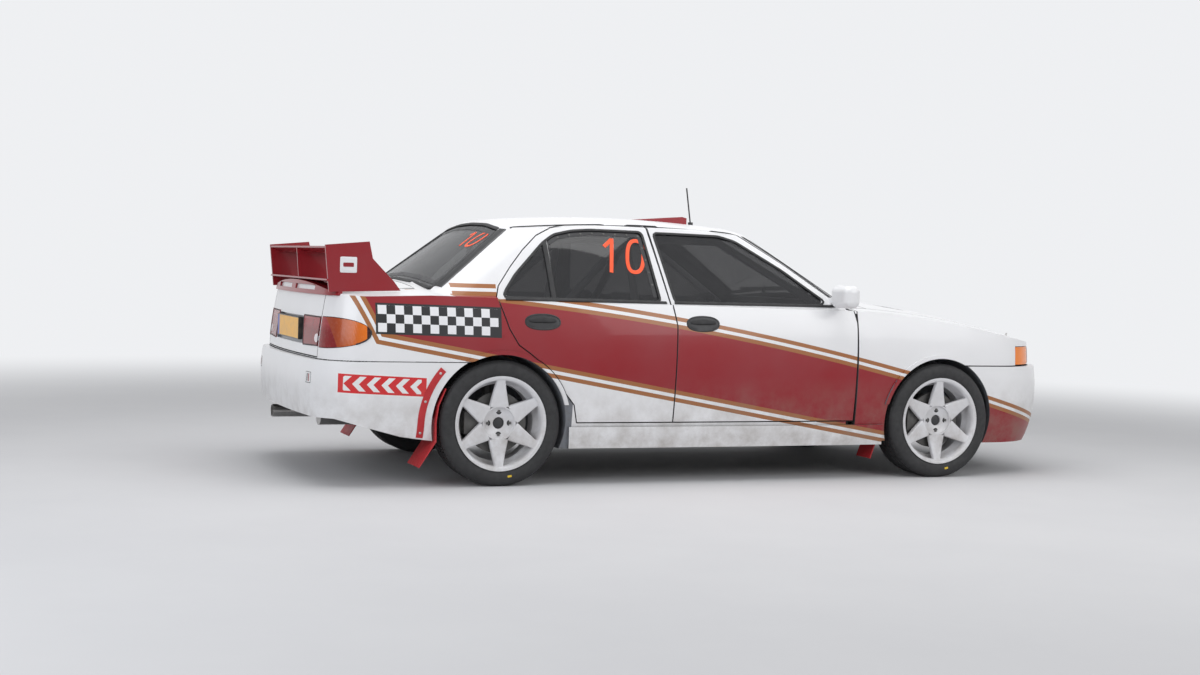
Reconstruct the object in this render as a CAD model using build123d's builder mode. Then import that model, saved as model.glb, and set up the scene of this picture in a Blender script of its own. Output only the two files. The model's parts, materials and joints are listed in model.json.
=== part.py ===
from build123d import *
import math
import os

# Rally saloon on its wheels: +X ahead, +Y to its left, +Z up, ground at z 0, millimetres.
WHEELBASE = 2510
REAR_AXLE_X = -1220
FRONT_AXLE_X = REAR_AXLE_X + WHEELBASE
AXLE_Z = 308
HALF_TRACK = 725
SILL_Z = 180
FLOOR_Z = 200
BUMPER_SEAM_Z = 608
ARCH_RADIUS = 338
LINER_RADIUS = 366
GAP = 6
WIDE = 900

# Panel thicknesses, from the outer skin inward.
SKIN = 25
DOOR = 60
DOOR_SKIN = 10
DOOR_FRAME = 24
WALL = 80
ROOF_WALL = 40
GLASS_OUT = 6
GLASS_IN = 11

# Steering axis, from the lower ball joint to the strut's top mount.
BALL_Y, BALL_Z = 690, 190
MOUNT_Y = 555

# Plan outlines of the lower body, one a height. Columns: height, half width at the middle,
# at the rear corner and at the front corner, rear and front end, bow of the rear and front
# end, radius of the rear and front corners.
BODY_LEVELS = [
    (180, 796, 760, 742, -2060, 2040, 50, 120, 200, 380),
    (430, 830, 800, 784, -2108, 2085, 50, 120, 220, 400),
    (650, 836, 806, 788, -2108, 2090, 50, 120, 220, 400),
    (810, 822, 786, 766, -2092, 2070, 50, 120, 210, 380),
    (1000, 752, 716, 700, -2062, 2010, 50, 120, 190, 340),
]
# The same for the cabin above the belt.
CABIN_LEVELS = [
    (820, 811, 769, 770, -1788, 1072, 122, 190, 250, 210),
    (880, 785, 742, 745, -1706, 968, 115, 175, 240, 200),
    (1110, 684, 640, 648, -1391, 570, 85, 120, 200, 160),
    (1400, 540, 500, 510, -994, 70, 50, 60, 150, 110),
]
# The same for the two bumpers, which stand further out than the body's ends.
BUMPER_LEVELS = [
    (180, 796, 760, 742, -2105, 2105, 50, 130, 200, 380),
    (330, 820, 788, 772, -2142, 2150, 50, 130, 220, 400),
    (470, 832, 802, 786, -2155, 2155, 50, 130, 220, 400),
    (640, 836, 806, 788, -2138, 2132, 50, 130, 220, 400),
]


def plan_outline(level, inset):
    z, w_mid, w_rear, w_front, x_rear, x_front, bow_rear, bow_front, r_rear, r_front = level
    w_mid, w_rear, w_front = w_mid - inset, w_rear - inset, w_front - inset
    x_rear, x_front = x_rear + inset, x_front - inset
    x_mid = (x_rear + x_front) / 2
    rear_left, rear_right = (x_rear + bow_rear, w_rear), (x_rear + bow_rear, -w_rear)
    front_left, front_right = (x_front - bow_front, w_front), (x_front - bow_front, -w_front)
    with BuildSketch(Plane.XY.offset(z)) as section:
        with BuildLine():
            ThreePointArc(rear_right, (x_rear, 0), rear_left)
            ThreePointArc(rear_left, (x_mid, w_mid), front_left)
            ThreePointArc(front_left, (x_front, 0), front_right)
            ThreePointArc(front_right, (x_mid, -w_mid), rear_right)
        make_face()
        fillet(section.vertices().group_by(Axis.X)[0], r_rear - inset)
        fillet(section.vertices().group_by(Axis.X)[-1], r_front - inset)
    return section.sketch


def lofted(levels, inset=0):
    with BuildPart() as volume:
        for level in levels:
            add(plan_outline(level, inset))
        loft()
    return volume.part


def over_crown(line, arc, centre_z, drop=0):
    """Everything over a deck line of the side view, swung about a lengthwise axis."""
    swing, top = 25, 1800
    side, rise = math.sin(math.radians(swing)), math.cos(math.radians(swing))
    ends = [(line[-1][0], top), (arc[-1][0], top)]
    with BuildPart() as volume:
        with BuildSketch(Plane((0, 0, centre_z), x_dir=(1, 0, 0), z_dir=(0, -rise, side))):
            with BuildLine():
                Polyline([(x, z - drop - centre_z) for x, z in [*line, *ends, *arc[:1:-1]]])
                Bezier(*[(x, z - drop - centre_z) for x, z in arc[:3]])
            make_face()
        revolve(axis=Axis((0, 0, centre_z), (1, 0, 0)), revolution_arc=2 * swing)
    return volume.part


# Deck and roof lines of the side view: straight runs rearward, and the bow ahead of them.
DECK_LINE = [(860, 955), (-1575, 985), (-2072, 966), (-2400, 940)]
DECK_ARC = [(860, 955), (1500, 912), (2075, 748), (2400, 560)]
DECK_CENTRE = 980 - 5000
ROOF_LINE = [(-1110, 1315), (-2000, 1180)]
ROOF_ARC = [(-1110, 1315), (-455, 1384), (200, 1325), (1200, 1141)]
ROOF_CENTRE = 1350 - 3000


def body_volume(inset=0, drop=None):
    with BuildPart() as volume:
        add(lofted(BODY_LEVELS, inset))
        add(over_crown(DECK_LINE, DECK_ARC, DECK_CENTRE, inset if drop is None else drop),
            mode=Mode.SUBTRACT)
    return volume.part


def cabin_volume(inset=0):
    with BuildPart() as volume:
        add(lofted(CABIN_LEVELS, inset))
        add(over_crown(ROOF_LINE, ROOF_ARC, ROOF_CENTRE, inset), mode=Mode.SUBTRACT)
    return volume.part


def prism(plane, points, depth, corner=0, grow=0):
    """Straight solid from an outline on a plane; grow moves the outline outward."""
    with BuildPart() as solid:
        with BuildSketch(plane):
            with BuildLine():
                if corner:
                    FilletPolyline(points, radius=corner, close=True)
                else:
                    Polyline(points, close=True)
            make_face()
            if grow:
                offset(amount=grow)
        extrude(amount=depth)
    return solid.part


def side_prism(points, y_from=-WIDE, y_to=WIDE, corner=0, grow=0):
    return prism(Plane.XZ.offset(-y_from), points, y_from - y_to, corner, grow)


def top_prism(points, z_from, z_to, corner=0, grow=0):
    return prism(Plane.XY.offset(z_from), points, z_to - z_from, corner, grow)


def front_prism(points, x_from, x_to, corner=0, grow=0):
    return prism(Plane.YZ.offset(x_from), points, x_to - x_from, corner, grow)


def block(x_from, x_to, y_from, y_to, z_from, z_to):
    with BuildPart() as solid:
        with Locations(((x_from + x_to) / 2, (y_from + y_to) / 2, (z_from + z_to) / 2)):
            Box(x_to - x_from, y_to - y_from, z_to - z_from)
    return solid.part


def cross_cylinder(x, z, radius, y_from, y_to):
    with BuildPart() as solid:
        with BuildSketch(Plane.XZ.offset(-y_from)):
            with Locations((x, z)):
                Circle(radius)
        extrude(amount=y_from - y_to)
    return solid.part


def both_sides(part):
    with BuildPart() as pair:
        add(part)
        mirror(about=Plane.XZ)
    return pair.part


def rod(start, end, radius):
    axis = Vector(*end) - Vector(*start)
    with BuildPart() as solid:
        with BuildSketch(Plane(origin=start, z_dir=axis)):
            Circle(radius)
        extrude(amount=axis.length)
    return solid.part


def finish(part, name):
    os.makedirs("parts", exist_ok=True)
    part.label = name
    export_step(part, f"parts/{name}.step")


# Side view outlines, as (x, z).
REAR_DOOR_EDGE = [(-306, 313), (-296, 800), (-393, 1297)]
FRONT_DOOR_EDGE = [(-299, 313), (-289, 800), (-381, 1297)]
GUTTER_Y = 540
FRONT_DOOR = [(752, 313), (760, 830), (742, 903), (690, 928), (402, 1124), (140, 1275), (40, 1297),
              *reversed(FRONT_DOOR_EDGE)]
REAR_DOOR = [*REAR_DOOR_EDGE, (-700, 1299), (-817, 1291), (-910, 1272), (-988, 1232),
             (-1070, 1156), (-1144, 1072), (-1218, 975), (-1236, 911), (-1185, 771),
             (-1139, 696), (-1071, 649), (-1000, 590), (-840, 400), (-822, 313)]
FRONT_WINDOW = [(-284, 921), (-352, 1266), (24, 1262), (118, 1238), (370, 1094), (600, 936),
                (560, 921)]
REAR_WINDOW = [(-370, 921), (-422, 1268), (-702, 1270), (-800, 1262), (-896, 1240), (-960, 1197),
               (-1033, 1125), (-1123, 1036), (-1184, 955), (-1196, 926)]
WINDOW_BAR = [(-950, 900), (-966, 1300), (-942, 1300), (-928, 900)]
DOOR_ARCH = ARCH_RADIUS + 26


def door_prism(points, grow=0):
    """A right door's outline; the rear one keeps clear of the wheel arch."""
    with BuildPart() as solid:
        add(side_prism(points, -WIDE, -300, grow=grow))
        add(cross_cylinder(REAR_AXLE_X, AXLE_Z, DOOR_ARCH - grow, -WIDE, 0), mode=Mode.SUBTRACT)
    return solid.part


def minus(whole, *cutters):
    with BuildPart() as rest:
        add(whole)
        for cutter in cutters:
            add(cutter, mode=Mode.SUBTRACT)
    return rest.part


def common(*volumes):
    with BuildPart() as shared:
        add(volumes[0])
        for volume in volumes[1:]:
            add(volume, mode=Mode.INTERSECT)
    return shared.part


def mirrored(part):
    with BuildPart() as other:
        mirror(part, about=Plane.XZ)
    return other.part


BODY = body_volume()
CABIN = cabin_volume()
SHEET = minus(BODY, body_volume(SKIN))
GLASS = minus(cabin_volume(GLASS_OUT), cabin_volume(GLASS_IN))
DOOR_SILL_TOP = 905


def door(points, window):
    """Right door: thick below the belt, a thin frame above, and a stepped inner edge."""
    slab = minus(common(BODY, block(-1300, 800, -WIDE, -500, 300, DOOR_SILL_TOP)),
                 lofted(BODY_LEVELS, DOOR))
    step = minus(lofted(BODY_LEVELS, DOOR_SKIN), door_prism(points, -16))
    frame = minus(common(CABIN, block(-1300, 800, -WIDE, -GUTTER_Y, 890, 1400)),
                  cabin_volume(DOOR_FRAME))
    with BuildPart() as panel:
        add(slab)
        add(step, mode=Mode.SUBTRACT)
        add(frame)
        add(door_prism(points), mode=Mode.INTERSECT)
        add(window, mode=Mode.SUBTRACT)
    return panel.part


FRONT_PANE = side_prism(FRONT_WINDOW, -WIDE, -300, corner=16)
REAR_PANES = minus(side_prism(REAR_WINDOW, -WIDE, -300, corner=16),
                   side_prism(WINDOW_BAR, -WIDE, -300))
for name, points, window in (("front_door", FRONT_DOOR, FRONT_PANE),
                             ("rear_door", REAR_DOOR, REAR_PANES)):
    panel = door(points, window)
    pane = common(GLASS, window)
    finish(panel, name + "_right")
    finish(mirrored(panel), name + "_left")
    finish(pane, name.replace("door", "window") + "_right")
    finish(mirrored(pane), name.replace("door", "window") + "_left")

# Bonnet, boot lid and their openings, in top view.
BONNET = [(880, -690), (2200, -596), (2200, 596), (880, 690)]
BOOT = [(-1600, -540), (-2200, -602), (-2200, 602), (-1600, 540)]
BONNET_LIP_Z = 718
LID_LIP_Z = 616
WINDSCREEN = [(-640, 934), (-330, 962), (0, 972), (330, 962), (640, 934), (478, 1268), (240, 1298),
              (0, 1304), (-240, 1298), (-478, 1268)]
BACKLIGHT = [(-600, 944), (-300, 984), (0, 996), (300, 984), (600, 944), (462, 1258), (230, 1284),
             (0, 1290), (-230, 1284), (-462, 1258)]

VENTS = [(-450, -210), (210, 450)]
VENT_SLOTS = (1150, 1185, 1220, 1255)
with BuildPart() as bonnet:
    add(SHEET)
    add(top_prism(BONNET, BONNET_LIP_Z, 1100), mode=Mode.INTERSECT)
    for y_from, y_to in VENTS:
        for x in VENT_SLOTS:
            add(block(x, x + 16, y_from, y_to, 800, 1000), mode=Mode.SUBTRACT)
finish(bonnet.part, "bonnet")

LID_LAMP = [(335, 658), (596, 664), (596, 808), (295, 808)]
PLATE_BAY = [(-322, 664), (322, 664), (284, 800), (-284, 800)]
PLATE_DEPTH = 13
with BuildPart() as boot_lid:
    add(SHEET)
    add(top_prism(BOOT, LID_LIP_Z, 1100), mode=Mode.INTERSECT)
    add(both_sides(front_prism(LID_LAMP, -2200, -2000)), mode=Mode.SUBTRACT)
    add(minus(front_prism(PLATE_BAY, -2200, -2000, corner=24), body_volume(PLATE_DEPTH)),
        mode=Mode.SUBTRACT)
finish(boot_lid.part, "boot_lid")
finish(minus(block(-2108, -2040, -260, 260, 680, 791), body_volume(PLATE_DEPTH)), "number_plate")
with BuildPart() as lid_lamps:
    add(minus(body_volume(-2), body_volume(SKIN)))
    add(top_prism(BOOT, LID_LIP_Z, 1100), mode=Mode.INTERSECT)
    add(both_sides(front_prism(LID_LAMP, -2200, -2000, grow=-1)), mode=Mode.INTERSECT)
finish(lid_lamps.part, "boot_lamps")

# Outer tail lamps, wrapped around the corners to a tip.
TAIL_LAMP_TIP = [(-2033, 808), (-1930, 800), (-1830, 775), (-1825, 705), (-1930, 678), (-2065, 663)]


def lamp_prism(y_in, grow=0):
    """The right tail lamp's side outline, with a round tip."""
    tip = [(x + (grow if x > -1900 else 0), z + math.copysign(grow, z - 735)) for x, z in TAIL_LAMP_TIP]
    with BuildPart() as solid:
        with BuildSketch(Plane.XZ.offset(y_in)):
            with BuildLine():
                Bezier(*tip)
                Polyline(tip[-1], (-2150, 660 - grow), (-2150, 808 + grow), tip[0])
            make_face()
        extrude(amount=WIDE - y_in)
    return solid.part


with BuildPart() as tail_lamps:
    add(body_volume(-2))
    add(body_volume(36), mode=Mode.SUBTRACT)
    add(both_sides(lamp_prism(608)), mode=Mode.INTERSECT)
finish(tail_lamps.part, "tail_lamps")

# Nose: lamps and grille between the bumper seam and the bonnet's lip.
LAMP_LOW, LAMP_HIGH = 614, 712
with BuildPart() as headlamps:
    add(body_volume(3))
    add(body_volume(63), mode=Mode.SUBTRACT)
    add(both_sides(front_prism([(334, LAMP_LOW), (640, LAMP_LOW), (640, LAMP_HIGH), (334, LAMP_HIGH)],
                               1700, 2200)), mode=Mode.INTERSECT)
finish(headlamps.part, "headlamps")
with BuildPart() as indicators:
    add(body_volume(3))
    add(body_volume(45), mode=Mode.SUBTRACT)
    add(both_sides(front_prism([(644, LAMP_LOW), (WIDE, LAMP_LOW), (WIDE, LAMP_HIGH), (644, LAMP_HIGH)],
                               1800, 2200)), mode=Mode.INTERSECT)
finish(indicators.part, "indicators")
with BuildPart() as grille:
    add(body_volume(8))
    add(body_volume(36), mode=Mode.SUBTRACT)
    add(front_prism([(-328, LAMP_LOW), (328, LAMP_LOW), (328, LAMP_HIGH), (-328, LAMP_HIGH)], 1900, 2200),
        mode=Mode.INTERSECT)
    for z in (628, 656, 684):
        add(block(1900, 2200, -310, -8, z, z + 16), mode=Mode.SUBTRACT)
        add(block(1900, 2200, 8, 310, z, z + 16), mode=Mode.SUBTRACT)
finish(grille.part, "grille")

# Front wings.
with BuildPart() as fenders:
    add(SHEET)
    add(block(768, 2200, -WIDE, WIDE, 200, 1000), mode=Mode.INTERSECT)
    add(top_prism([(700, -709), (2200, -602), (2200, 602), (700, 709)], 0, 1100), mode=Mode.SUBTRACT)
    add(cross_cylinder(FRONT_AXLE_X, AXLE_Z, ARCH_RADIUS, -WIDE, WIDE), mode=Mode.SUBTRACT)
    add(block(1400, 2200, -WIDE, WIDE, 0, BUMPER_SEAM_Z + 2), mode=Mode.SUBTRACT)
    add(block(1796, 2200, -WIDE, WIDE, 0, LAMP_HIGH + 4), mode=Mode.SUBTRACT)
finish(fenders.part, "front_wings")

# Bumpers, walls of one thickness with their openings.
BUMPER_WALL = 30
with BuildPart() as bumper_ring:
    add(lofted(BUMPER_LEVELS))
    add(lofted(BUMPER_LEVELS, BUMPER_WALL), mode=Mode.SUBTRACT)
FRONT_OPENINGS = [(-420, 420, 276, 440), (-620, -470, 290, 400), (470, 620, 290, 400),
                  (-300, 300, 500, 540)]
with BuildPart() as front_bumper:
    add(bumper_ring.part)
    add(block(1440, 2200, -WIDE, WIDE, SILL_Z, BUMPER_SEAM_Z - 4), mode=Mode.INTERSECT)
    add(cross_cylinder(FRONT_AXLE_X, AXLE_Z, ARCH_RADIUS + 6, -WIDE, WIDE), mode=Mode.SUBTRACT)
    for y_from, y_to, z_from, z_to in FRONT_OPENINGS:
        add(block(1800, 2200, y_from, y_to, z_from, z_to), mode=Mode.SUBTRACT)
finish(front_bumper.part, "front_bumper")
REAR_BUMPER = [(-1350, BUMPER_SEAM_Z - 4), (-2200, BUMPER_SEAM_Z - 4), (-2200, 330), (-2031, 330),
               (-1901, 295), (-1716, 245), (-1540, 221)]
with BuildPart() as rear_bumper:
    add(bumper_ring.part)
    add(side_prism(REAR_BUMPER), mode=Mode.INTERSECT)
    add(cross_cylinder(REAR_AXLE_X, AXLE_Z, ARCH_RADIUS + 8, -WIDE, WIDE), mode=Mode.SUBTRACT)
finish(rear_bumper.part, "rear_bumper")

# Sill skirts between the arches.
with BuildPart() as skirts:
    add(lofted(BODY_LEVELS, -12))
    add(BODY, mode=Mode.SUBTRACT)
    add(side_prism([(-858, 181), (-866, 290), (938, 290), (944, 181)]), mode=Mode.INTERSECT)
finish(skirts.part, "side_skirts")

# Arch lips, a raised band around each wheel opening.
ARCHES = ((FRONT_AXLE_X, block(1440, 1700, -WIDE, WIDE, 0, 612)),
          (REAR_AXLE_X, block(-1700, -1370, -WIDE, WIDE, 0, 612)))
with BuildPart() as bands:
    for axle_x, bumper_side in ARCHES:
        add(minus(common(cross_cylinder(axle_x, AXLE_Z, ARCH_RADIUS + 20, -WIDE, WIDE),
                         block(-2400, 2400, -WIDE, WIDE, 400, 700)),
                  cross_cylinder(axle_x, AXLE_Z, ARCH_RADIUS, -WIDE, WIDE), bumper_side))
finish(common(minus(lofted(BODY_LEVELS, -10), BODY), bands.part), "arch_lips")

# The body shell: the outer form less its rooms, openings and the panels that stand apart.
CABIN_FRONT, CABIN_REAR = 690, -1130
SEAT_STEP_X = -850
SHELF_Z = 905
UNDER_REAR_Z = 400
COWL_X = 874
BONNET_HALF = 690
BUMPER_LOW_Z = 330
TUB_IN = 500
TUB = cross_cylinder(REAR_AXLE_X, AXLE_Z, ARCH_RADIUS + 20, -WIDE, -TUB_IN + 20)
TUBS = both_sides(TUB)


def right_block(x_from, x_to, z_from, z_to, y_in=0):
    return block(x_from, x_to, -WIDE, -y_in, z_from, z_to)


FRONT_END = minus(right_block(762, 2400, 0, 1100), block(762, COWL_X, -BONNET_HALF, 0, 0, 1100))


def cabin_room():
    low = minus(common(lofted(BODY_LEVELS, WALL), right_block(CABIN_REAR, CABIN_FRONT, FLOOR_Z, 930)),
                right_block(CABIN_REAR, SEAT_STEP_X, 0, UNDER_REAR_Z + 20), TUB)
    high = minus(common(cabin_volume(ROOF_WALL), right_block(-1700, 900, SHELF_Z, 1400)),
                 right_block(CABIN_FRONT, 900, 0, 938), right_block(-1700, -1530, 0, 965))
    return [low, high]


def boot_room():
    deep = common(lofted(BODY_LEVELS, WALL),
                  right_block(-2010, CABIN_REAR - 22, UNDER_REAR_Z + 20, SHELF_Z - 22))
    return minus(deep, TUB)


def door_recess(points):
    """The stepped hole that a door closes: a shallow wide part and a narrower way through."""
    stop = common(lofted(BODY_LEVELS, DOOR + GAP), right_block(-1400, 900, 0, 912))
    frame_stop = common(cabin_volume(DOOR_FRAME + GAP), right_block(-1400, 900, 912, 1400))
    way = common(door_prism(points, -20), right_block(-1400, 900, 0, 1400, GUTTER_Y))
    rebate = common(door_prism(points, GAP), right_block(-1400, 900, 0, 1400, GUTTER_Y - GAP))
    return [minus(rebate, stop, frame_stop), way]


def swing_relief():
    """Room inside the gutter for the rear door frame's top corner as it swings."""
    corner = common(door_prism(REAR_DOOR, GAP + 14), right_block(-1030, -820, 1180, 1400, GUTTER_Y - GAP))
    return minus(common(corner, cabin_volume(8)), cabin_volume(DOOR_FRAME + GAP))


with BuildPart() as half_shell:
    add(minus(common(BODY, right_block(-2400, 2400, 0, 1500)), FRONT_END))
    add(minus(common(CABIN, right_block(-2400, 2400, 0, 1500)),
              common(body_volume(0, -5), FRONT_END)))
    add([right_block(712, COWL_X, 0, 880), *cabin_room(), boot_room()], mode=Mode.SUBTRACT)
    add([*door_recess(FRONT_DOOR), *door_recess(REAR_DOOR),
         swing_relief(),
         common(door_prism(FRONT_DOOR, GAP), right_block(620, 800, 880, 914, 630))], mode=Mode.SUBTRACT)
    # glass openings, the boot's stepped opening, the tail lamp's seat
    add([front_prism(WINDSCREEN, 120, 1100), front_prism(BACKLIGHT, -1800, -1040),
         minus(top_prism(BOOT, LID_LIP_Z - 6, 1100, grow=GAP), body_volume(SKIN + GAP)),
         top_prism(BOOT, LID_LIP_Z + 24, 1100, grow=-22),
         lamp_prism(604, grow=3)], mode=Mode.SUBTRACT)
    # rear underside, bumper seat and wheel opening
    add([block(-2400, SEAT_STEP_X - 20, -TUB_IN, 0, 0, UNDER_REAR_Z),
         right_block(-2400, -1500, 0, BUMPER_LOW_Z),
         minus(right_block(-2400, -1350, 0, BUMPER_SEAM_Z), lofted(BODY_LEVELS, 36)),
         cross_cylinder(REAR_AXLE_X, AXLE_Z, ARCH_RADIUS, -WIDE, -TUB_IN)], mode=Mode.SUBTRACT)

# The shell's panels: cabin tub, rear floor, quarters with the tail, and the roof with its pillars.
REAR_SPLIT_X, REAR_SPLIT_Z = -850, 598
AHEAD = right_block(REAR_SPLIT_X, 2400, 0, 1100)
BEHIND_LOW = right_block(-2400, REAR_SPLIT_X, 0, REAR_SPLIT_Z)
BEHIND_HIGH = right_block(-2400, REAR_SPLIT_X, REAR_SPLIT_Z, 1100)


def by_volume(part):
    return part.solids().sort_by(SortBy.VOLUME)


screen_sill, roof_half = by_volume(minus(half_shell.part, BODY))
lower_body = common(half_shell.part, BODY)
with BuildPart() as quarter:
    add(minus(lower_body, AHEAD, BEHIND_LOW))
    add(screen_sill)
finish(both_sides(roof_half), "roof_frame")
finish(both_sides(quarter.part), "rear_quarters")
finish(both_sides(minus(lower_body, AHEAD, BEHIND_HIGH)), "rear_floor")
finish(both_sides(by_volume(minus(lower_body, BEHIND_LOW, BEHIND_HIGH))[-1]), "body_shell")

# Front end behind the panels: inner wing, rail, arch liner, strut tower and cross pieces.
with BuildPart() as half_front:
    add([side_prism([(712, 345), (1690, 345), (1690, 690), (1500, 780), (1300, 820), (712, 850)],
                    -445, -433),
         block(712, 1995, -445, -375, 345, 405),
         minus(common(cross_cylinder(FRONT_AXLE_X, AXLE_Z, LINER_RADIUS + 6, -742, -440),
                      right_block(800, 1700, 300, 900)),
               cross_cylinder(FRONT_AXLE_X, AXLE_Z, LINER_RADIUS, -WIDE, 0)),
         rod((FRONT_AXLE_X, -572, 640), (FRONT_AXLE_X, -572, 832), 92),
         block(FRONT_AXLE_X - 80, FRONT_AXLE_X + 80, -500, -436, 740, 800),
         minus(block(1810, 1835, -560, 0, 250, 690), block(1800, 1840, -436, 0, 300, 640)),
         block(1985, 2025, -450, 0, 350, 400)])
    add(rod((FRONT_AXLE_X, -572, 600), (FRONT_AXLE_X, -572, 822), 80), mode=Mode.SUBTRACT)
finish(both_sides(half_front.part), "front_structure")

finish(common(GLASS, front_prism(WINDSCREEN, 120, 1100)), "windscreen")
finish(common(GLASS, front_prism(BACKLIGHT, -1800, -1040)), "rear_window")

# Wheels. Profiles are (radius, distance outboard) about the axle.
TYRE_PROFILE = [(220, -90), (234, -91), (250, -100), (264, -102), (288, -98), (303, -86),
                (308, -70), (308, 70), (303, 86), (288, 98), (264, 102), (250, 100), (234, 91),
                (220, 90), (220, 80), (236, 82), (264, 92), (286, 86), (296, 70), (296, -70),
                (286, -86), (264, -92), (236, -82), (220, -80)]
RIM_PROFILE = [(233, -99), (233, -92), (219, -90), (218, -62), (198, -50), (198, 20), (217, 40),
               (219, 90), (233, 92), (233, 99), (226, 99), (210, 87), (209, 42), (190, 22),
               (190, -52), (210, -66), (210, -87), (226, -99)]
HUB_PROFILE = [(0, -40), (30, -40), (30, 4), (150, 4), (150, 28), (70, 28), (70, 41), (28, 41),
               (28, 46), (0, 46)]
BOWL_PROFILE = [(0, 30), (29, 30), (29, 56), (70, 56), (79, 62), (79, 100), (0, 100)]
SPOKES = 6
LUGS, LUG_CIRCLE = 4, 57.15
TREAD_GROOVES = (-52, 0, 52)


def turned(profile):
    with BuildPart() as ring:
        with BuildSketch(Plane.XY):
            with BuildLine():
                Polyline(profile, close=True)
            make_face()
        revolve(axis=Axis.Y)
    return ring.part


def lug_cylinders(radius, y_from, y_to):
    with BuildPart() as lugs:
        with BuildSketch(Plane.XZ.offset(-y_from)):
            with PolarLocations(LUG_CIRCLE, LUGS, start_angle=0):
                Circle(radius)
        extrude(amount=y_from - y_to)
    return lugs.part


with BuildPart() as tyre:
    add(turned(TYRE_PROFILE))
    for y in TREAD_GROOVES:
        add(turned([(301, y - 4), (309, y - 4), (309, y + 4), (301, y + 4)]), mode=Mode.SUBTRACT)

spoke = common(
    prism(Plane.XY.offset(-60), [(55, 44), (55, 70), (120, 74), (214, 86), (214, 62), (120, 50)], 120),
    side_prism([(60, -52), (92, -50), (200, -24), (214, -22), (214, 22), (200, 24), (92, 50),
                (60, 52)], 0, 120))
with BuildPart() as rim:
    add(turned(RIM_PROFILE))
    add(cross_cylinder(0, 0, 84, 41, 69))
    for n in range(SPOKES):
        add(spoke, rotation=(0, 360 / SPOKES * n + 30, 0))
    add(turned(BOWL_PROFILE), mode=Mode.SUBTRACT)
    add(lug_cylinders(16, 0, 100), mode=Mode.SUBTRACT)

with BuildPart() as disc_hub:
    add(turned(HUB_PROFILE))
    add(lug_cylinders(7, 40, 54))


def knuckle(strut_foot, strut_top):
    """Carrier of one wheel: bearing ring, lower leg, strut bracket, calliper and strut."""
    with BuildPart() as carrier:
        add(cross_cylinder(0, 0, 46, -38, -6))
        add(rod((0, -24, -36), (0, BALL_Y - HALF_TRACK, BALL_Z - AXLE_Z), 15))
        with Locations((0, BALL_Y - HALF_TRACK, BALL_Z - AXLE_Z)):
            Sphere(18)
        add(front_prism([(-10, 36), (-44, 36), (-115, 52), (-166, 52), (-166, 132), (-118, 132),
                         (-36, 84)], -17, 17))
        add(block(-118, -30, -38, -20, -16, 16))
        add(minus(block(-170, -100, -26, 40, -55, 55), cross_cylinder(0, 0, 154, 0, 32)))
        add(rod(strut_foot, strut_top, 24))
        add(cross_cylinder(0, 0, 31, -60, 60), mode=Mode.SUBTRACT)
    return carrier.part


def local(y, z):
    return (0, y - HALF_TRACK, z - AXLE_Z)


with BuildPart() as front_knuckle:
    add(knuckle(local(585, 352), local(558, 790)))
    add(rod(local(567, 645), local(559, 785), 56))
    add(rod(local(558, 785), local(MOUNT_Y, 816), 12))

rear_carrier = knuckle(local(585, 352), local(562, 640))

for place, x in (("front", FRONT_AXLE_X), ("rear", REAR_AXLE_X)):
    for name, piece in (("tyre", tyre.part), ("rim", rim.part), ("disc_hub", disc_hub.part)):
        with BuildPart() as left:
            with Locations((x, HALF_TRACK, AXLE_Z)):
                add(piece)
        finish(left.part, f"{name}_{place}_left")
        finish(mirrored(left.part), f"{name}_{place}_right")
with BuildPart() as left_knuckle:
    with Locations((FRONT_AXLE_X, HALF_TRACK, AXLE_Z)):
        add(front_knuckle.part)
finish(left_knuckle.part, "knuckle_left")
finish(mirrored(left_knuckle.part), "knuckle_right")
with BuildPart() as rear_hubs:
    with Locations((REAR_AXLE_X, HALF_TRACK, AXLE_Z)):
        add(rear_carrier)
finish(both_sides(rear_hubs.part), "rear_hub_carriers")

# Front subframe with its lower arms, and the driveshafts as solids of their own.
ARM_END_Y = BALL_Y - 23
FRONT_ARM = [(FRONT_AXLE_X - 90, -360), (FRONT_AXLE_X + 90, -360), (FRONT_AXLE_X + 36, -450),
             (FRONT_AXLE_X + 20, -ARM_END_Y), (FRONT_AXLE_X - 20, -ARM_END_Y),
             (FRONT_AXLE_X - 36, -450)]
with BuildPart() as front_subframe:
    add(block(FRONT_AXLE_X - 60, FRONT_AXLE_X + 60, -400, 400, 182, 240))
    for part in (block(1000, 1600, -400, -340, 182, 240), block(1010, 1050, -400, -376, 240, 345),
                 block(1550, 1590, -400, -376, 240, 345), top_prism(FRONT_ARM, 182, 198)):
        add(both_sides(part))
    add(both_sides(rod((FRONT_AXLE_X, -331, AXLE_Z), (FRONT_AXLE_X, -655, AXLE_Z), 14)))
finish(front_subframe.part, "front_subframe")

# Rear subframe: crossmember, final drive, driveshafts and lower arms.
REAR_ARM = [(REAR_AXLE_X - 110, -240), (REAR_AXLE_X + 110, -240), (REAR_AXLE_X + 24, -ARM_END_Y),
            (REAR_AXLE_X - 24, -ARM_END_Y)]
with BuildPart() as rear_subframe:
    add(block(REAR_AXLE_X - 70, REAR_AXLE_X + 70, -420, 420, 345, UNDER_REAR_Z))
    add(cross_cylinder(REAR_AXLE_X, 300, 88, -100, 100))
    for part in (block(REAR_AXLE_X - 60, REAR_AXLE_X + 60, -290, -240, 182, 350),
                 top_prism(REAR_ARM, 182, 198),
                 rod((REAR_AXLE_X, -90, AXLE_Z), (REAR_AXLE_X, -655, AXLE_Z), 14)):
        add(both_sides(part))
finish(rear_subframe.part, "rear_subframe")

finish(block(930, 1480, -330, 330, 240, 740), "engine_block")

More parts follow.
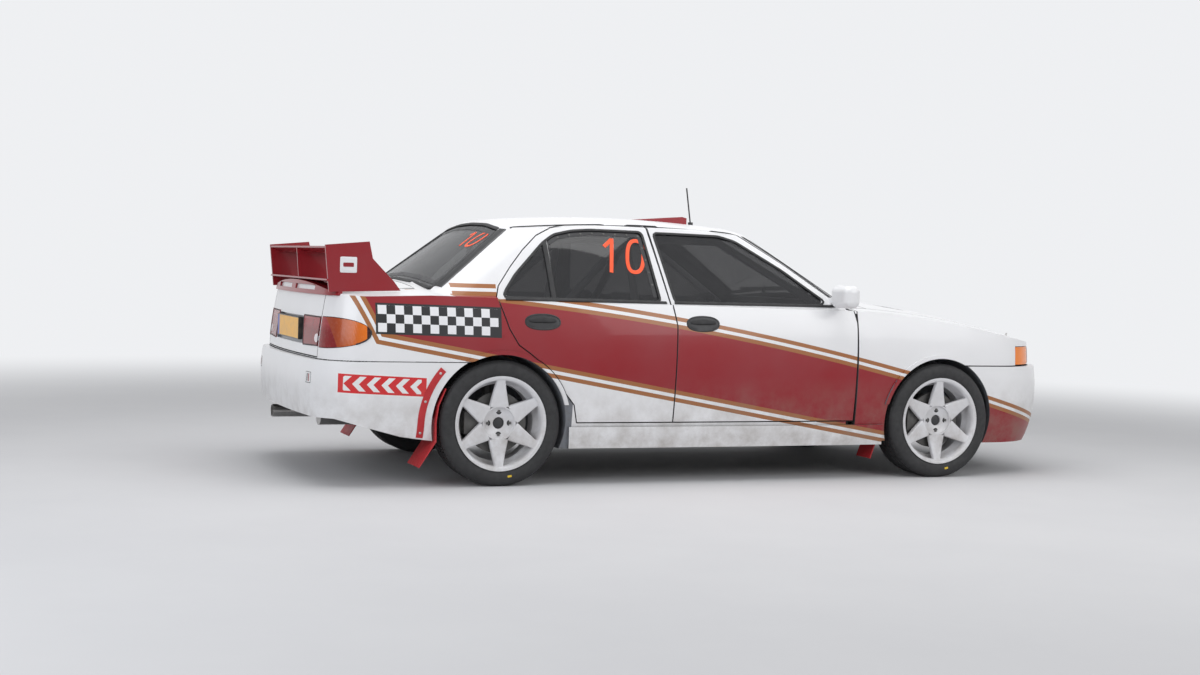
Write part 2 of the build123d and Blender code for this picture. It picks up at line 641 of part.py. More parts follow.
with BuildPart() as exhaust:
    for start, end, radius in (((1050, 60, 148), (-620, 60, 148), 28),
                               ((-620, 60, 148), (-890, 350, 148), 28),
                               ((-890, 350, 148), (-1010, 370, 252), 28),
                               ((-1010, 370, 252), (-1560, 385, 252), 28),
                               ((-1540, 400, 258), (-1850, 400, 258), 72),
                               ((-1840, 430, 262), (-2096, 430, 262), 34)):
        add(rod(start, end, radius))
    for centre in ((-620, 60, 148), (-890, 350, 148), (-1010, 370, 252)):
        with Locations(centre):
            Sphere(28)
    add(rod((-1900, 430, 262), (-2200, 430, 262), 30), mode=Mode.SUBTRACT)
finish(exhaust.part, "exhaust")

# Cabin fittings.
SEAT_Y = 350
SEAT_SIDE = [(250, 290), (262, 400), (120, 420), (-150, 400), (-210, 560), (-300, 700), (-330, 930),
             (-390, 960), (-424, 930), (-290, 300), (-220, 270)]
SEAT_DISH = [(300, 370), (-120, 335), (-215, 420), (-355, 990), (-100, 1000), (300, 700)]
with BuildPart() as seat:
    add(side_prism(SEAT_SIDE, SEAT_Y - 245, SEAT_Y + 245, corner=14))
    add(side_prism(SEAT_DISH, SEAT_Y - 195, SEAT_Y + 195, corner=20), mode=Mode.SUBTRACT)
    for y in (SEAT_Y - 170, SEAT_Y + 150):
        add(block(-190, 220, y, y + 20, FLOOR_Z, 300))
finish(both_sides(seat.part), "seats")
DASH = [(688, 640), (688, 896), (520, 884), (470, 820), (480, 700), (560, 640)]
finish(side_prism(DASH, -620, 620, corner=18), "dashboard")
with BuildPart() as steering_wheel:
    with BuildSketch(Plane((372, SEAT_Y, 800), x_dir=(0, 1, 0), z_dir=(-1, 0, 0.42))):
        Circle(165)
    extrude(amount=11, both=True)
    with BuildSketch(Plane((372, SEAT_Y, 800), x_dir=(0, 1, 0), z_dir=(-1, 0, 0.42))):
        Circle(142)
    extrude(amount=12, both=True, mode=Mode.SUBTRACT)
    with BuildSketch(Plane((372, SEAT_Y, 800), x_dir=(0, 1, 0), z_dir=(-1, 0, 0.42))):
        Circle(34)
        Rectangle(300, 24)
        with Locations((0, -75)):
            Rectangle(24, 150)
    extrude(amount=5, both=True)
    add(rod((372, SEAT_Y, 800), (466, SEAT_Y, 760), 18))
finish(steering_wheel.part, "steering_wheel")

HOOP_X = -460
TUBE = 20
CAGE = [
    [(HOOP_X, -690, FLOOR_Z), (HOOP_X, -690, 850), (HOOP_X, -500, 1238), (HOOP_X, 0, 1262)],
    [(HOOP_X, -500, 1238), (80, -470, 1236), (640, -650, 898), (662, -676, 760), (662, -676, FLOOR_Z)],
    [(HOOP_X, -500, 1238), (-1085, -610, 620)],
    [(80, -470, 1236), (80, 0, 1256)],
]
with BuildPart() as cage:
    for run in CAGE:
        for start, end in zip(run, run[1:]):
            add(both_sides(rod(start, end, TUBE)))
        for centre in run[1:-1]:
            with Locations(centre, (centre[0], -centre[1], centre[2])):
                Sphere(TUBE)
    add(rod((HOOP_X, 680, 300), (HOOP_X, -480, 1225), TUBE))
    add(TUBS, mode=Mode.SUBTRACT)
finish(cage.part, "roll_cage")

# Mirrors on the front doors.
with BuildPart() as mirror_right:
    with Locations((645, -872, 968)):
        Box(96, 176, 118)
    fillet(mirror_right.edges(), 36)
    add(minus(block(640, 680, -800, -690, 930, 960), CABIN))
finish(mirror_right.part, "mirror_right")
finish(mirrored(mirror_right.part), "mirror_left")

# Rear wing on the boot lid: blade, end plates, centre pillar, lip and feet.
WING_HALF = 692
BLADE = [(-2076, 1137), (-2076, 1146), (-2030, 1142), (-1950, 1140), (-1895, 1130), (-1880, 1118),
         (-1900, 1110), (-2000, 1114)]
LIP = [(-1960, 971), (-1960, 981), (-2030, 984), (-2066, 990), (-2070, 982), (-2030, 974)]
END_PLATE = [(-2055, 929), (-2078, 1152), (-1864, 1174), (-1846, 1093), (-1801, 1047),
             (-1739, 985), (-1706, 942)]
CENTRE_PLATE = [(-2054, 930), (-2072, 1140), (-1890, 1124), (-1850, 1060), (-1800, 940)]
with BuildPart() as wing:
    add(side_prism(BLADE, -WING_HALF, WING_HALF))
    add(side_prism(LIP, -WING_HALF, WING_HALF))
    add(common(body_volume(-10), block(-2200, -1990, -WING_HALF, WING_HALF, 912, 1000)))
    add(both_sides(side_prism(END_PLATE, -WING_HALF, -WING_HALF + 16)))
    add(side_prism(CENTRE_PLATE, -6, 6))
    add(both_sides(block(-2200, -2050, 46, 430, 932, 956)), mode=Mode.SUBTRACT)
    add(BODY, mode=Mode.SUBTRACT)
finish(wing.part, "rear_wing")

# Mud flaps, roof scoop and aerial.
REAR_FLAP = [(-1505, 480), (-1540, 400), (-1551, 320), (-1549, 225), (-1630, 100), (-1626, 97),
             (-1544, 223), (-1546, 320), (-1535, 398), (-1501, 478)]
FRONT_FLAP = [(941, 340), (946, 340), (946, 215), (905, 100), (900, 102), (941, 217)]
with BuildPart() as flaps:
    add(both_sides(side_prism(REAR_FLAP, -820, -616)))
    add(both_sides(side_prism(FRONT_FLAP, -752, -612)))
finish(flaps.part, "mud_flaps")
with BuildPart() as scoop:
    add(side_prism([(-212, 1330), (-212, 1352), (30, 1374), (56, 1368), (56, 1330)], -130, 130))
    add(CABIN, mode=Mode.SUBTRACT)
    add(block(20, 60, -112, 112, 1352, 1366), mode=Mode.SUBTRACT)
finish(scoop.part, "roof_scoop")
with BuildPart() as aerial:
    with BuildSketch(Plane.XY.offset(1318)):
        with Locations((140, 0)):
            Circle(14)
    extrude(amount=32)
    add(rod((140, 0, 1340), (110, 0, 1540), 4))
    add(CABIN, mode=Mode.SUBTRACT)
finish(aerial.part, "aerial")
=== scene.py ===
import json
import math
from functools import partial, partialmethod

import bpy
import numpy as np
from mathutils import Matrix, Vector
from mathutils.bvhtree import BVHTree

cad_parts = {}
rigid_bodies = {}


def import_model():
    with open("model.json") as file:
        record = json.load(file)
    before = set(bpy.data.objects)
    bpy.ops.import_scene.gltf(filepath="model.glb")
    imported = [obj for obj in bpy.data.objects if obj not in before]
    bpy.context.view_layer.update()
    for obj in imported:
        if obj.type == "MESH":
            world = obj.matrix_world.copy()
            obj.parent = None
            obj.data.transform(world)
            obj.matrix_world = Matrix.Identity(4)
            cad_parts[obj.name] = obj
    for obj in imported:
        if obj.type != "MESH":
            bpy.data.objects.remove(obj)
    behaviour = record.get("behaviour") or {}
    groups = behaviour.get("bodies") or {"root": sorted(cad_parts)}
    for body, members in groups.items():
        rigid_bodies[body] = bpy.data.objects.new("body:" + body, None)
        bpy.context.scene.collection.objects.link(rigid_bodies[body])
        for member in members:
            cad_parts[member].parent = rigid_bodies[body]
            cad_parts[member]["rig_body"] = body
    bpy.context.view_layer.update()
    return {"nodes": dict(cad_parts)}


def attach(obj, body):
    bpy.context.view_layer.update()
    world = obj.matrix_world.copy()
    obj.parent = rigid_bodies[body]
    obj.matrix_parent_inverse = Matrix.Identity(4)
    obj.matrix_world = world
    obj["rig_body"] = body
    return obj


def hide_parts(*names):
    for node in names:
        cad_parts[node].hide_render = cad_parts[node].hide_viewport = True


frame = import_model()
NODES = frame["nodes"]
SCENE = bpy.context.scene

# Places of the frame, in metres: X ahead, Y to the left, Z up.
REAR_AXLE_X, FRONT_AXLE_X, AXLE_Z, HALF_TRACK = -1.22, 1.29, 0.308, 0.725
TUB_RADIUS = 0.385
DECK_CENTRE_Z = -4.02
SIDES = {"left": 1, "right": -1}
WHEELS = {f"{end}_{side}": (x, sign * HALF_TRACK, sign)
          for end, x in (("front", FRONT_AXLE_X), ("rear", REAR_AXLE_X))
          for side, sign in SIDES.items()}

# Colours of the finishes, as linear red, green and blue.
WHITE = (0.78, 0.78, 0.79)
RED = (0.255, 0.0025, 0.0085)
GOLD = (0.33, 0.118, 0.03)
BLACK = (0.01, 0.01, 0.012)
RACE_ORANGE = (0.95, 0.09, 0.02)


class Value:
    """A socket of a shader tree; sums, products and comparisons of Values make new nodes."""

    def __init__(self, tree, socket):
        self.tree, self.socket = tree, socket

    def apply(self, operation, other=0.0):
        return self.tree.math(operation, self, other)

    __add__ = partialmethod(apply, "ADD")
    __sub__ = partialmethod(apply, "SUBTRACT")
    __mul__ = partialmethod(apply, "MULTIPLY")
    __gt__ = partialmethod(apply, "GREATER_THAN")
    __lt__ = partialmethod(apply, "LESS_THAN")
    __abs__ = partialmethod(apply, "ABSOLUTE")
    least = partialmethod(apply, "MINIMUM")
    most = partialmethod(apply, "MAXIMUM")

    def __rsub__(self, other):
        return self.tree.math("SUBTRACT", other, self)

    def within(self, low, high):
        """1 where the value lies between low and high."""
        return (self > low) * (self < high)

    def span(self, other):
        """Length of the vector of this value and another one."""
        return (self * self + other * other).apply("SQRT")

    def ramp(self, low, high, at_low=0.0, at_high=1.0):
        """at_low where the value is low or less, at_high where it is high or more, straight between."""
        return self.tree.node("MapRange", {"Value": self, "From Min": low, "From Max": high,
                                           "To Min": at_low, "To Max": at_high})

    def mix(self, a, b):
        """Colour a where this share is 0 and colour b where it is 1."""
        return self.tree.node("Mix", {0: self, 6: a, 7: b}, out=2, data_type="RGBA")


class Tree:
    """Short calls for the nodes of a shader tree."""

    def __init__(self, tree):
        self.tree = tree

    def feed(self, value, socket):
        """Links a Value to a socket, or sets the socket to a number or a colour."""
        if isinstance(value, Value):
            self.tree.links.new(value.socket, socket)
        else:
            socket.default_value = (*value, 1.0) if isinstance(value, tuple) else value

    def node(self, kind, inputs=(), out=0, **properties):
        node = self.tree.nodes.new("ShaderNode" + kind)
        for key, value in properties.items():
            setattr(node, key, value)
        for key, value in dict(inputs).items():
            self.feed(value, node.inputs[key])
        return Value(self, node.outputs[out])

    def math(self, operation, a, b):
        return self.node("Math", {0: a, 1: b}, operation=operation)

    def seen(self):
        """1 for rays from the camera, off glossy faces and through glass, 0 for light that falls."""
        camera, glossy, through = (self.node("LightPath", out=f"Is {kind} Ray")
                                   for kind in ("Camera", "Glossy", "Transmission"))
        return camera.most(glossy.most(through))


class Finish(Tree):
    """A material, its Principled shader and the place that its patterns read."""

    def __init__(self, name, **shader):
        self.material = bpy.data.materials.new(name)
        self.material.use_nodes = True
        super().__init__(self.material.node_tree)
        self.shader = self.tree.nodes["Principled BSDF"]
        self.place = self.node("TexCoord", out="Object")
        for key, value in shader.items():
            self.set(key, value)

    def set(self, key, value):
        name = key.replace("_", " ").title().replace("Ior", "IOR")
        self.feed(value, self.shader.inputs[name])

    def axis(self, name):
        return self.node("SeparateXYZ", {0: self.place}, out=name)

    def body_place(self):
        """Distance ahead, distance from the car's middle plane, and height."""
        return self.axis("X"), abs(self.axis("Y")), self.axis("Z")

    def noise(self, scale, detail=4.0, roughness=0.5):
        return self.node("TexNoise", {"Vector": self.place, "Scale": scale, "Detail": detail,
                                      "Roughness": roughness})

    def cloud(self, noise, low, high, at_high=1.0):
        """Patches of noise, 0 where it is low or less and at_high where it is high or more."""
        return self.noise(*noise).ramp(low, high, 0.0, at_high)

    def done(self, colour, height, distance, strength):
        """The material with this colour and these bumps."""
        self.set("base_color", colour)
        self.set("normal", self.node("Bump", {"Height": height, "Distance": distance,
                                              "Strength": strength}))
        return self.material


def line_distance(x, z, start, end):
    """Distance of (x, z) to the left of the straight line from start to end."""
    run, rise = end[0] - start[0], end[1] - start[1]
    length = math.hypot(run, rise)
    return x * (-rise / length) + z * (run / length) + (rise * start[0] - run * start[1]) / length


def slanted(x, z, area, slope):
    """1 on a parallelogram with upright sides, and the height that stays the same along its slope.
    area is (x from, x to, z from, z to), with both heights taken at x from."""
    x_from, x_to, z_from, z_to = area
    level = (x - x_from) * -slope + z
    return x.within(x_from, x_to) * level.within(z_from, z_to), level


# The livery's lines, in the side view (x, z): depth is the distance inside the red band.
GOLD_ROWS = ((0.0, 0.021), (0.038, 0.059))
BAND_FOOT = ((-1.844, 0.69), (-0.196, 0.397))
BAND_TAIL = ((-1.965, 0.917), (-1.844, 0.681))
QUARTER_X, QUARTER_TOP, BELT_TOP = -1.233, 0.986, 0.914
DOOR_EDGE_X, DOOR_EDGE = -0.604, (0.889, -0.13, -0.032)
LIVERY_FROM_Y, STICKERS_FROM_Y = 0.45, 0.6
DECK_X, DECK_EDGE_Z, DECK_FALL_X, DECK_FALL, DECK_SLACK = -1.45, 0.985, -1.575, 0.0382, 0.0015

# Stickers, as (x from, x to, z from, z to) and a slope along x, and the dark bay of the plate.
CHEQUER_PANEL, CHEQUER_SLOPE, SQUARE = (-1.851, -1.229, 0.737, 0.885), -0.017, 0.0425
CHEQUER_FIELD = (-1.8405, -1.2455, 0.7475, 0.875)
CHEVRON_PANEL, CHEVRON_SLOPE = (-2.03, -1.592, 0.45, 0.556), -0.044
CHEVRON_BORDER, CHEVRON_FIELD = (-2.022, -1.6, 0.458, 0.548), (-2.0, -1.625, 0.468, 0.538)
CHEVRON_MIDDLE_Z, CHEVRON_PITCH, CHEVRON_SHARE = 0.503, 0.07, 0.45
STICKER_RED, STICKER_WHITE = (0.62, 0.01, 0.014), (0.8, 0.8, 0.8)
BAY_Z, BAY_HALF, BAY_BEHIND_X = (0.6645, 0.7995), 0.3215, -2.0


def livery(finish):
    """Red band over tail, quarters and doors, with gold, white and gold lines along its edges. Its
    upper edge over the doors is a parabola in x - DOOR_EDGE_X with the factors DOOR_EDGE; the deck's
    edge is a circle about DECK_CENTRE_Z that drops by DECK_FALL a metre behind DECK_FALL_X."""
    x, y, z = finish.body_place()
    run = x - DOOR_EDGE_X
    edge = run * run * DOOR_EDGE[2] + (run * DOOR_EDGE[1] + DOOR_EDGE[0])
    edge = finish.node("Mix", {0: x < QUARTER_X, 2: edge, 3: QUARTER_TOP})
    depth = line_distance(x, z, *BAND_FOOT).least(line_distance(x, z, *BAND_TAIL)).least(edge - z)
    door_frame = (x > QUARTER_X) * (z > BELT_TOP)
    fall = (x - DECK_FALL_X).least(0.0) * DECK_FALL
    under_deck = fall + (DECK_EDGE_Z - DECK_CENTRE_Z) - (z - DECK_CENTRE_Z).span(y)
    deck = (x < DECK_X) * (under_deck < DECK_SLACK)
    kept = (1.0 - door_frame.most(deck)) * (y > LIVERY_FROM_Y)
    gold = depth.within(*GOLD_ROWS[0]).most(depth.within(*GOLD_ROWS[1]))
    colour = ((depth > GOLD_ROWS[1][1]) * kept).mix(WHITE, RED)
    return stickers(finish, x, y, z, (gold * kept).mix(colour, GOLD))


def stickers(finish, x, y, z, colour):
    """Black panel with a chequered row on the quarter, dark bay behind the plate, and a red panel
    with white chevrons and a white border on the bumper."""
    side = y > STICKERS_FROM_Y
    panel, level = slanted(x, z, CHEQUER_PANEL, CHEQUER_SLOPE)
    place = finish.node("CombineXYZ", {0: x - CHEQUER_FIELD[0], 1: level - CHEQUER_FIELD[2], 2: 0.01})
    squares = finish.node("TexChecker", {"Vector": place, "Scale": 1 / SQUARE, "Color1": BLACK,
                                         "Color2": (0.8, 0.8, 0.82)})
    field, _ = slanted(x, z, CHEQUER_FIELD, CHEQUER_SLOPE)
    colour = (panel * side).mix(colour, field.mix(BLACK, squares))
    bay = z.within(*BAY_Z) * ((y < BAY_HALF) * (x < BAY_BEHIND_X))
    colour = bay.mix(colour, (0.075, 0.08, 0.105))
    panel, level = slanted(x, z, CHEVRON_PANEL, CHEVRON_SLOPE)
    inside, _ = slanted(x, z, CHEVRON_BORDER, CHEVRON_SLOPE)
    field, _ = slanted(x, z, CHEVRON_FIELD, CHEVRON_SLOPE)
    row = ((x - abs(level - CHEVRON_MIDDLE_Z)) * (1 / CHEVRON_PITCH)).apply("FRACT")
    arrow = (row < CHEVRON_SHARE) * field
    plate = inside.mix(STICKER_WHITE, arrow.mix(STICKER_RED, STICKER_WHITE))
    return (panel * side).mix(colour, plate)


def paint(name, colour_of):
    """Gloss car paint under a clear coat, with orange peel, and road dust that is thick at the
    sills, thins upward and is broken up by noise."""
    finish = Finish(name, coat_weight=0.25, coat_roughness=0.05, specular_ior_level=0.35)
    low = finish.axis("Z").ramp(0.22, 0.55, 0.55, 0.0)
    dust = low * finish.cloud((9.0, 6.0, 0.65), 0.35, 0.7)
    colour = dust.mix(colour_of(finish), (0.24, 0.2, 0.16))
    colour = finish.cloud((3.0, 3.0), 0.3, 0.7, 0.06).mix(colour, (0.3, 0.3, 0.32))
    finish.set("roughness", dust * 0.6 + 0.3)
    return finish.done(colour, finish.noise(900.0, 2.0), 0.00004, 0.4)


def moulded(name, colour, roughness, grain=900.0, depth=0.0001, metallic=0.0, spread=0.25):
    """One colour broken up by fine grain and slow wear."""
    finish = Finish(name, metallic=metallic)
    worn = tuple(min(1.0, c * 1.5 + 0.02) for c in colour)
    shade = finish.cloud((14.0, 5.0, 0.6), 0.35, 0.7, spread).mix(colour, worn)
    finish.set("roughness", finish.noise(40.0, 4.0).ramp(0.3, 0.7, roughness - 0.08, roughness + 0.1))
    return finish.done(shade, finish.noise(grain, 3.0), depth, 0.6)


def window_glass(name, tint, alpha):
    """Dark car glass: a clear sheet that lets part of the cabin show."""
    finish = Finish(name, roughness=0.03, ior=1.5, coat_weight=0.3, coat_roughness=0.02)
    smear = finish.cloud((5.0, 5.0, 0.6), 0.3, 0.75, 0.05)
    finish.set("base_color", smear.mix(tint, (0.3, 0.3, 0.3)))
    finish.set("alpha", smear + alpha)
    return finish.material


def lens(name, colour_of):
    """Lamp plastic with fine upright ribs behind a smooth face, 160 to the metre."""
    finish = Finish(name, roughness=0.18, coat_weight=0.08, coat_roughness=0.03, specular_ior_level=0.3)
    turn = (finish.axis("Y") + finish.axis("X")) * (160.0 * math.tau)
    return finish.done(colour_of(finish), turn.apply("SINE"), 0.0003, 0.3)


def tail_lamp_colours(finish):
    """Red with a clear oval reverse lamp, an amber outer part and a dark rim; the amber part carries
    painted shade at its back and a painted highlight at its front end.
    """
    x, y, z = finish.body_place()
    colour = z.ramp(0.742, 0.775).mix((0.2, 0.0015, 0.004), (0.3, 0.02, 0.025))
    colour = y.within(0.473, 0.477).mix(colour, (0.03, 0.01, 0.01))
    reach = ((y - 0.56) * (1 / 0.034)).span((z - 0.703) * (1 / 0.021))
    colour = (reach < 1.0).mix(colour, (0.72, 0.66, 0.68))
    # Amber lens with painted light: brown (painted shade) at its back, bright (painted highlight) at its
    # front end.
    amber_with_painted_light = x.ramp(-2.03, -1.9).mix((0.3, 0.04, 0.008), (0.72, 0.16, 0.008))
    colour = (x + z * 0.25 > -1.855).mix(colour, amber_with_painted_light)
    colour = (x > -1.893).mix(colour, (0.035, 0.006, 0.006))
    return finish.cloud((70.0, 2.0), 0.5, 0.8, 0.04).mix(colour, (0.9, 0.6, 0.5))


def plate_film(name):
    """Blank yellow plate with a blue strip at its far end and a thin dark border."""
    finish = Finish(name, roughness=0.35)
    y, z = finish.axis("Y"), finish.axis("Z")
    colour = (y > 0.214).mix((0.86, 0.43, 0.02), (0.02, 0.06, 0.42))
    colour = (abs(y) > 0.2555).most(abs(z - 0.7355) > 0.051).mix(colour, (0.02, 0.02, 0.02))
    colour = finish.cloud((30.0, 4.0), 0.4, 0.8, 0.25).mix(colour, (0.25, 0.2, 0.15))
    return finish.done(colour, finish.noise(600.0, 2.0), 0.00004, 0.5)


def undercoat_and_gap_shade(name):
    """Inside faces: light grey in the cabin, stone guard grey in the wheel tubs, dark below. On the door
    shut faces and jambs, which are body colour on the car, the grey is painted shade in the gaps.
    """
    finish = Finish(name, roughness=0.7)
    x, _, z = finish.body_place()
    rear, front = ((x - axle).span(z - AXLE_Z) for axle in (REAR_AXLE_X, FRONT_AXLE_X))
    colour = z.ramp(0.3, 0.44, 1.0, 0.0).mix((0.16, 0.16, 0.17), (0.05, 0.05, 0.05))
    colour = (rear.least(front) < TUB_RADIUS).mix(colour, (0.16, 0.17, 0.19))
    colour = finish.cloud((30.0, 5.0, 0.7), 0.4, 0.75, 0.5).mix(colour, (0.1, 0.085, 0.07))
    return finish.done(colour, finish.noise(400.0, 4.0, 0.7), 0.0006, 0.8)


def plain(colour):
    return lambda finish: colour


def solid_paint(name, colour):
    dark = tuple(c * 0.8 for c in colour)
    return paint(name, lambda finish: finish.cloud((1.5,), 0.3, 0.7, 0.15).mix(colour, dark))


PAINT = paint("livery_paint", livery)
RED_PAINT = solid_paint("red_paint", RED)
WHITE_PAINT = solid_paint("white_paint", WHITE)
RIM_PAINT = solid_paint("rim_paint", (0.7, 0.7, 0.72))
INNER_AND_GAP_SHADE = undercoat_and_gap_shade("undercoat_and_gap_shade")
GLASS = window_glass("tinted_glass", (0.012, 0.012, 0.014), 0.62)
SCREEN_GLASS = window_glass("screen_glass", (0.02, 0.022, 0.024), 0.4)
BLACK_TRIM = moulded("black_plastic", (0.018, 0.018, 0.02), 0.45)
RUBBER = moulded("window_rubber", (0.012, 0.012, 0.013), 0.62, 500.0)
TYRE_RUBBER = moulded("tyre_rubber", (0.02, 0.02, 0.021), 0.72, 350.0, 0.0003)
STEEL = moulded("machined_steel", (0.42, 0.41, 0.4), 0.35, 700.0, 0.00005, 1.0, 0.5)
DARK_STEEL = moulded("forged_steel", (0.09, 0.088, 0.085), 0.55, 250.0, 0.0003, 0.7, 0.6)
CAST = moulded("cast_alloy", (0.3, 0.3, 0.3), 0.5, 220.0, 0.0004, 0.9, 0.5)
CAGE_PAINT = moulded("cage_paint", (0.55, 0.56, 0.58), 0.4, 300.0)
SEAT_FABRIC = moulded("seat_fabric", (0.02, 0.02, 0.023), 0.9, 1600.0, 0.0004)
SEAT_SHELL = moulded("seat_shell", (0.022, 0.022, 0.024), 0.35, 500.0, 0.00008)
WEBBING = moulded("harness_webbing", (0.26, 0.008, 0.012), 0.8, 1500.0, 0.0002)
EDGE_BLACK = moulded("glass_edge_black", (0.008, 0.008, 0.009), 0.12, 500.0, 0.00002)
LAMP_BOWL = moulded("lamp_bowl", (0.3, 0.31, 0.33), 0.15, 400.0, 0.00005, 0.8, 0.3)
CLEAR_LENS = lens("clear_lens", plain((0.55, 0.57, 0.6)))
AMBER_LENS = lens("amber_lens", plain((0.85, 0.22, 0.015)))
TAIL_LENS = lens("tail_lens", tail_lamp_colours)
PLATE_YELLOW = plate_film("plate_yellow")
FLAP_RED = moulded("flap_plastic", (0.42, 0.015, 0.02), 0.55, 300.0, 0.0003)
MARK_YELLOW = moulded("mark_yellow", (0.75, 0.5, 0.03), 0.6, 500.0, 0.00003)
NUMBER_ORANGE = moulded("number_film", RACE_ORANGE, 0.5, 500.0, 0.00003)


def merged(node):
    """Vertices and triangles of a CAD node, equal corners joined on a 0.01 mm lattice."""
    mesh = NODES[node].data
    corners = np.empty(len(mesh.vertices) * 3, np.float32)
    mesh.vertices.foreach_get("co", corners)
    loops = np.empty(len(mesh.loops), np.int32)
    mesh.loops.foreach_get("vertex_index", loops)
    lattice = np.round(corners.reshape(-1, 3).astype(float) / 1e-5).astype(np.int64)
    points, index = np.unique(lattice, axis=0, return_inverse=True)
    triangles = index.reshape(-1)[loops].reshape(-1, 3)
    whole = ((triangles[:, 0] != triangles[:, 1]) & (triangles[:, 1] != triangles[:, 2])
             & (triangles[:, 0] != triangles[:, 2]))
    return points * 1e-5, triangles[whole]


def mesh_piece(name, points, faces, body, slot, finishes, replaces=(), sharp=30.0, choice=None):
    """An object at the origin from arrays of points and faces, riding on a body."""
    mesh = bpy.data.meshes.new(name)
    mesh.from_pydata(np.asarray(points, float).tolist(), [],
                     [list(map(int, face)) for face in faces])
    mesh.polygons.foreach_set("use_smooth", np.ones(len(mesh.polygons), bool))
    mesh.set_sharp_from_angle(angle=math.radians(sharp))
    for finish in finishes:
        mesh.materials.append(finish)
    if choice is not None:
        mesh.polygons.foreach_set("material_index", np.asarray(choice, np.int32))
    mesh.validate()
    piece = bpy.data.objects.new(name, mesh)
    SCENE.collection.objects.link(piece)
    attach(piece, body)
    if replaces:
        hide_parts(*replaces)
    return piece


def trim(name, skin, body="root", slot="black_plastic", finish=RUBBER):
    """A small piece of one finish that replaces no CAD node."""
    mesh_piece(name, *skin, body, slot, [finish])


SKINS = {node: merged(node) for node in NODES}


def bvh_of(nodes):
    points, triangles, start = [], [], 0
    for node in nodes:
        corners, faces = SKINS[node]
        points.append(corners)
        triangles.append(faces + start)
        start += len(corners)
    return BVHTree.FromPolygons(np.concatenate(points).tolist(),
                                np.concatenate(triangles).tolist())


# Nodes that stand on the body and don't make the skin behind them an inside face.
ADDED_ON = ("arch_lips", "side_skirts", "mirror_left", "mirror_right", "rear_wing", "roof_scoop",
            "aerial", "number_plate", "mud_flaps", "exhaust")
EVERYTHING = bvh_of([node for node in NODES if node not in ADDED_ON])
LOOK_FROM, LOOK_TO = 0.0005, 3.0
UNDERSIDE_BELOW_Z, DECK_ABOVE_Z = 0.5, 0.86


def unit(vectors):
    """Vectors along the last axis, scaled to length 1."""
    return vectors / np.maximum(np.linalg.norm(vectors, axis=-1, keepdims=True), 1e-12)


def faces_outside(points, triangles):
    """1 for each face whose straight way out, along its normal, meets nothing, and for all faces of
    the cowl and deck that look up; 0 for the underside. Faces marked 0 take the inner finish, which on
    shut faces and jambs is painted shade in the gaps."""
    a, b, c = (points[triangles[:, k]] for k in range(3))
    normal = unit(np.cross(b - a, c - a))
    start = (a + b + c) / 3 + normal * LOOK_FROM
    free = np.array([EVERYTHING.ray_cast(Vector(p), Vector(n), LOOK_TO)[0] is None
                     for p, n in zip(start, normal)])
    underside = (normal[:, 2] < -0.8) & (start[:, 2] < UNDERSIDE_BELOW_Z)
    upper_deck = (normal[:, 2] > 0.5) & (start[:, 2] > DECK_ABOVE_Z)
    return ((free & ~underside) | upper_deck).astype(np.int32)


# Slot, finish or inner and outer finish, and the nodes that keep their own form.
PANELS = (
    ("paint_white", [INNER_AND_GAP_SHADE, PAINT], "body_shell roof_frame rear_quarters front_wings bonnet boot_lid "
     "front_door_left front_door_right rear_door_left rear_door_right front_bumper rear_bumper "
     "arch_lips side_skirts"),
    ("paint_white", [INNER_AND_GAP_SHADE], "rear_floor front_structure"),
    ("glass", [SCREEN_GLASS], "windscreen rear_window"),
    ("glass", [GLASS], "front_window_left front_window_right rear_window_left rear_window_right"),
    ("paint_red", [RED_PAINT], "rear_wing"),
    ("paint_white", [WHITE_PAINT], "mirror_left mirror_right"),
    ("paint_red", [RED_PAINT], "roof_scoop"),
    ("lamp_clear", [CLEAR_LENS], "headlamps"),
    ("lamp_amber", [AMBER_LENS], "indicators"),
    ("lamp_red", [TAIL_LENS], "tail_lamps boot_lamps"),
    ("black_plastic", [BLACK_TRIM], "grille"),
    ("plate_yellow", [PLATE_YELLOW], "number_plate"),
    ("paint_red", [FLAP_RED], "mud_flaps"),
    ("aerial_metal", [BLACK_TRIM], "aerial"),
    ("cage_paint", [CAGE_PAINT], "roll_cage"),
    ("black_plastic", [BLACK_TRIM], "dashboard"),
    ("black_plastic", [RUBBER], "steering_wheel"),
    ("engine_metal", [CAST], "engine_block"),
    ("steel", [STEEL], "exhaust"),
    ("steel", [DARK_STEEL], "front_subframe rear_subframe rear_hub_carriers knuckle_left knuckle_right "
     + " ".join("disc_hub_" + wheel for wheel in WHEELS)),
)
for slot, finishes, nodes in PANELS:
    for node in nodes.split():
        # Faces that look into gaps get the inner finish: painted shade on the shut faces and jambs.
        choice = faces_outside(*SKINS[node]) if len(finishes) == 2 else None
        mesh_piece(node + "_form", *SKINS[node], NODES[node]["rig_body"], slot, finishes, (node,),
                   choice=choice)


def grid_faces(rows, columns, wrap_rows):
    """Quads between neighbouring rows of a grid whose rows close on themselves."""
    r = np.arange(rows if wrap_rows else rows - 1)[:, None]
    c = np.arange(columns)[None, :]
    r2, c2 = (r + 1) % rows, (c + 1) % columns
    quads = np.stack([r * columns + c, r * columns + c2, r2 * columns + c2, r2 * columns + c], -1)
    return quads.reshape(-1, 4)


def about_axle(centre, sign, radius, angle, out):
    """Points at a radius and angle about an axle, out being the distance outboard of centre."""
    places = (centre[0] + radius * np.cos(angle), centre[1] + sign * out,
              centre[2] + radius * np.sin(angle))
    return np.stack(np.broadcast_arrays(*places), -1)


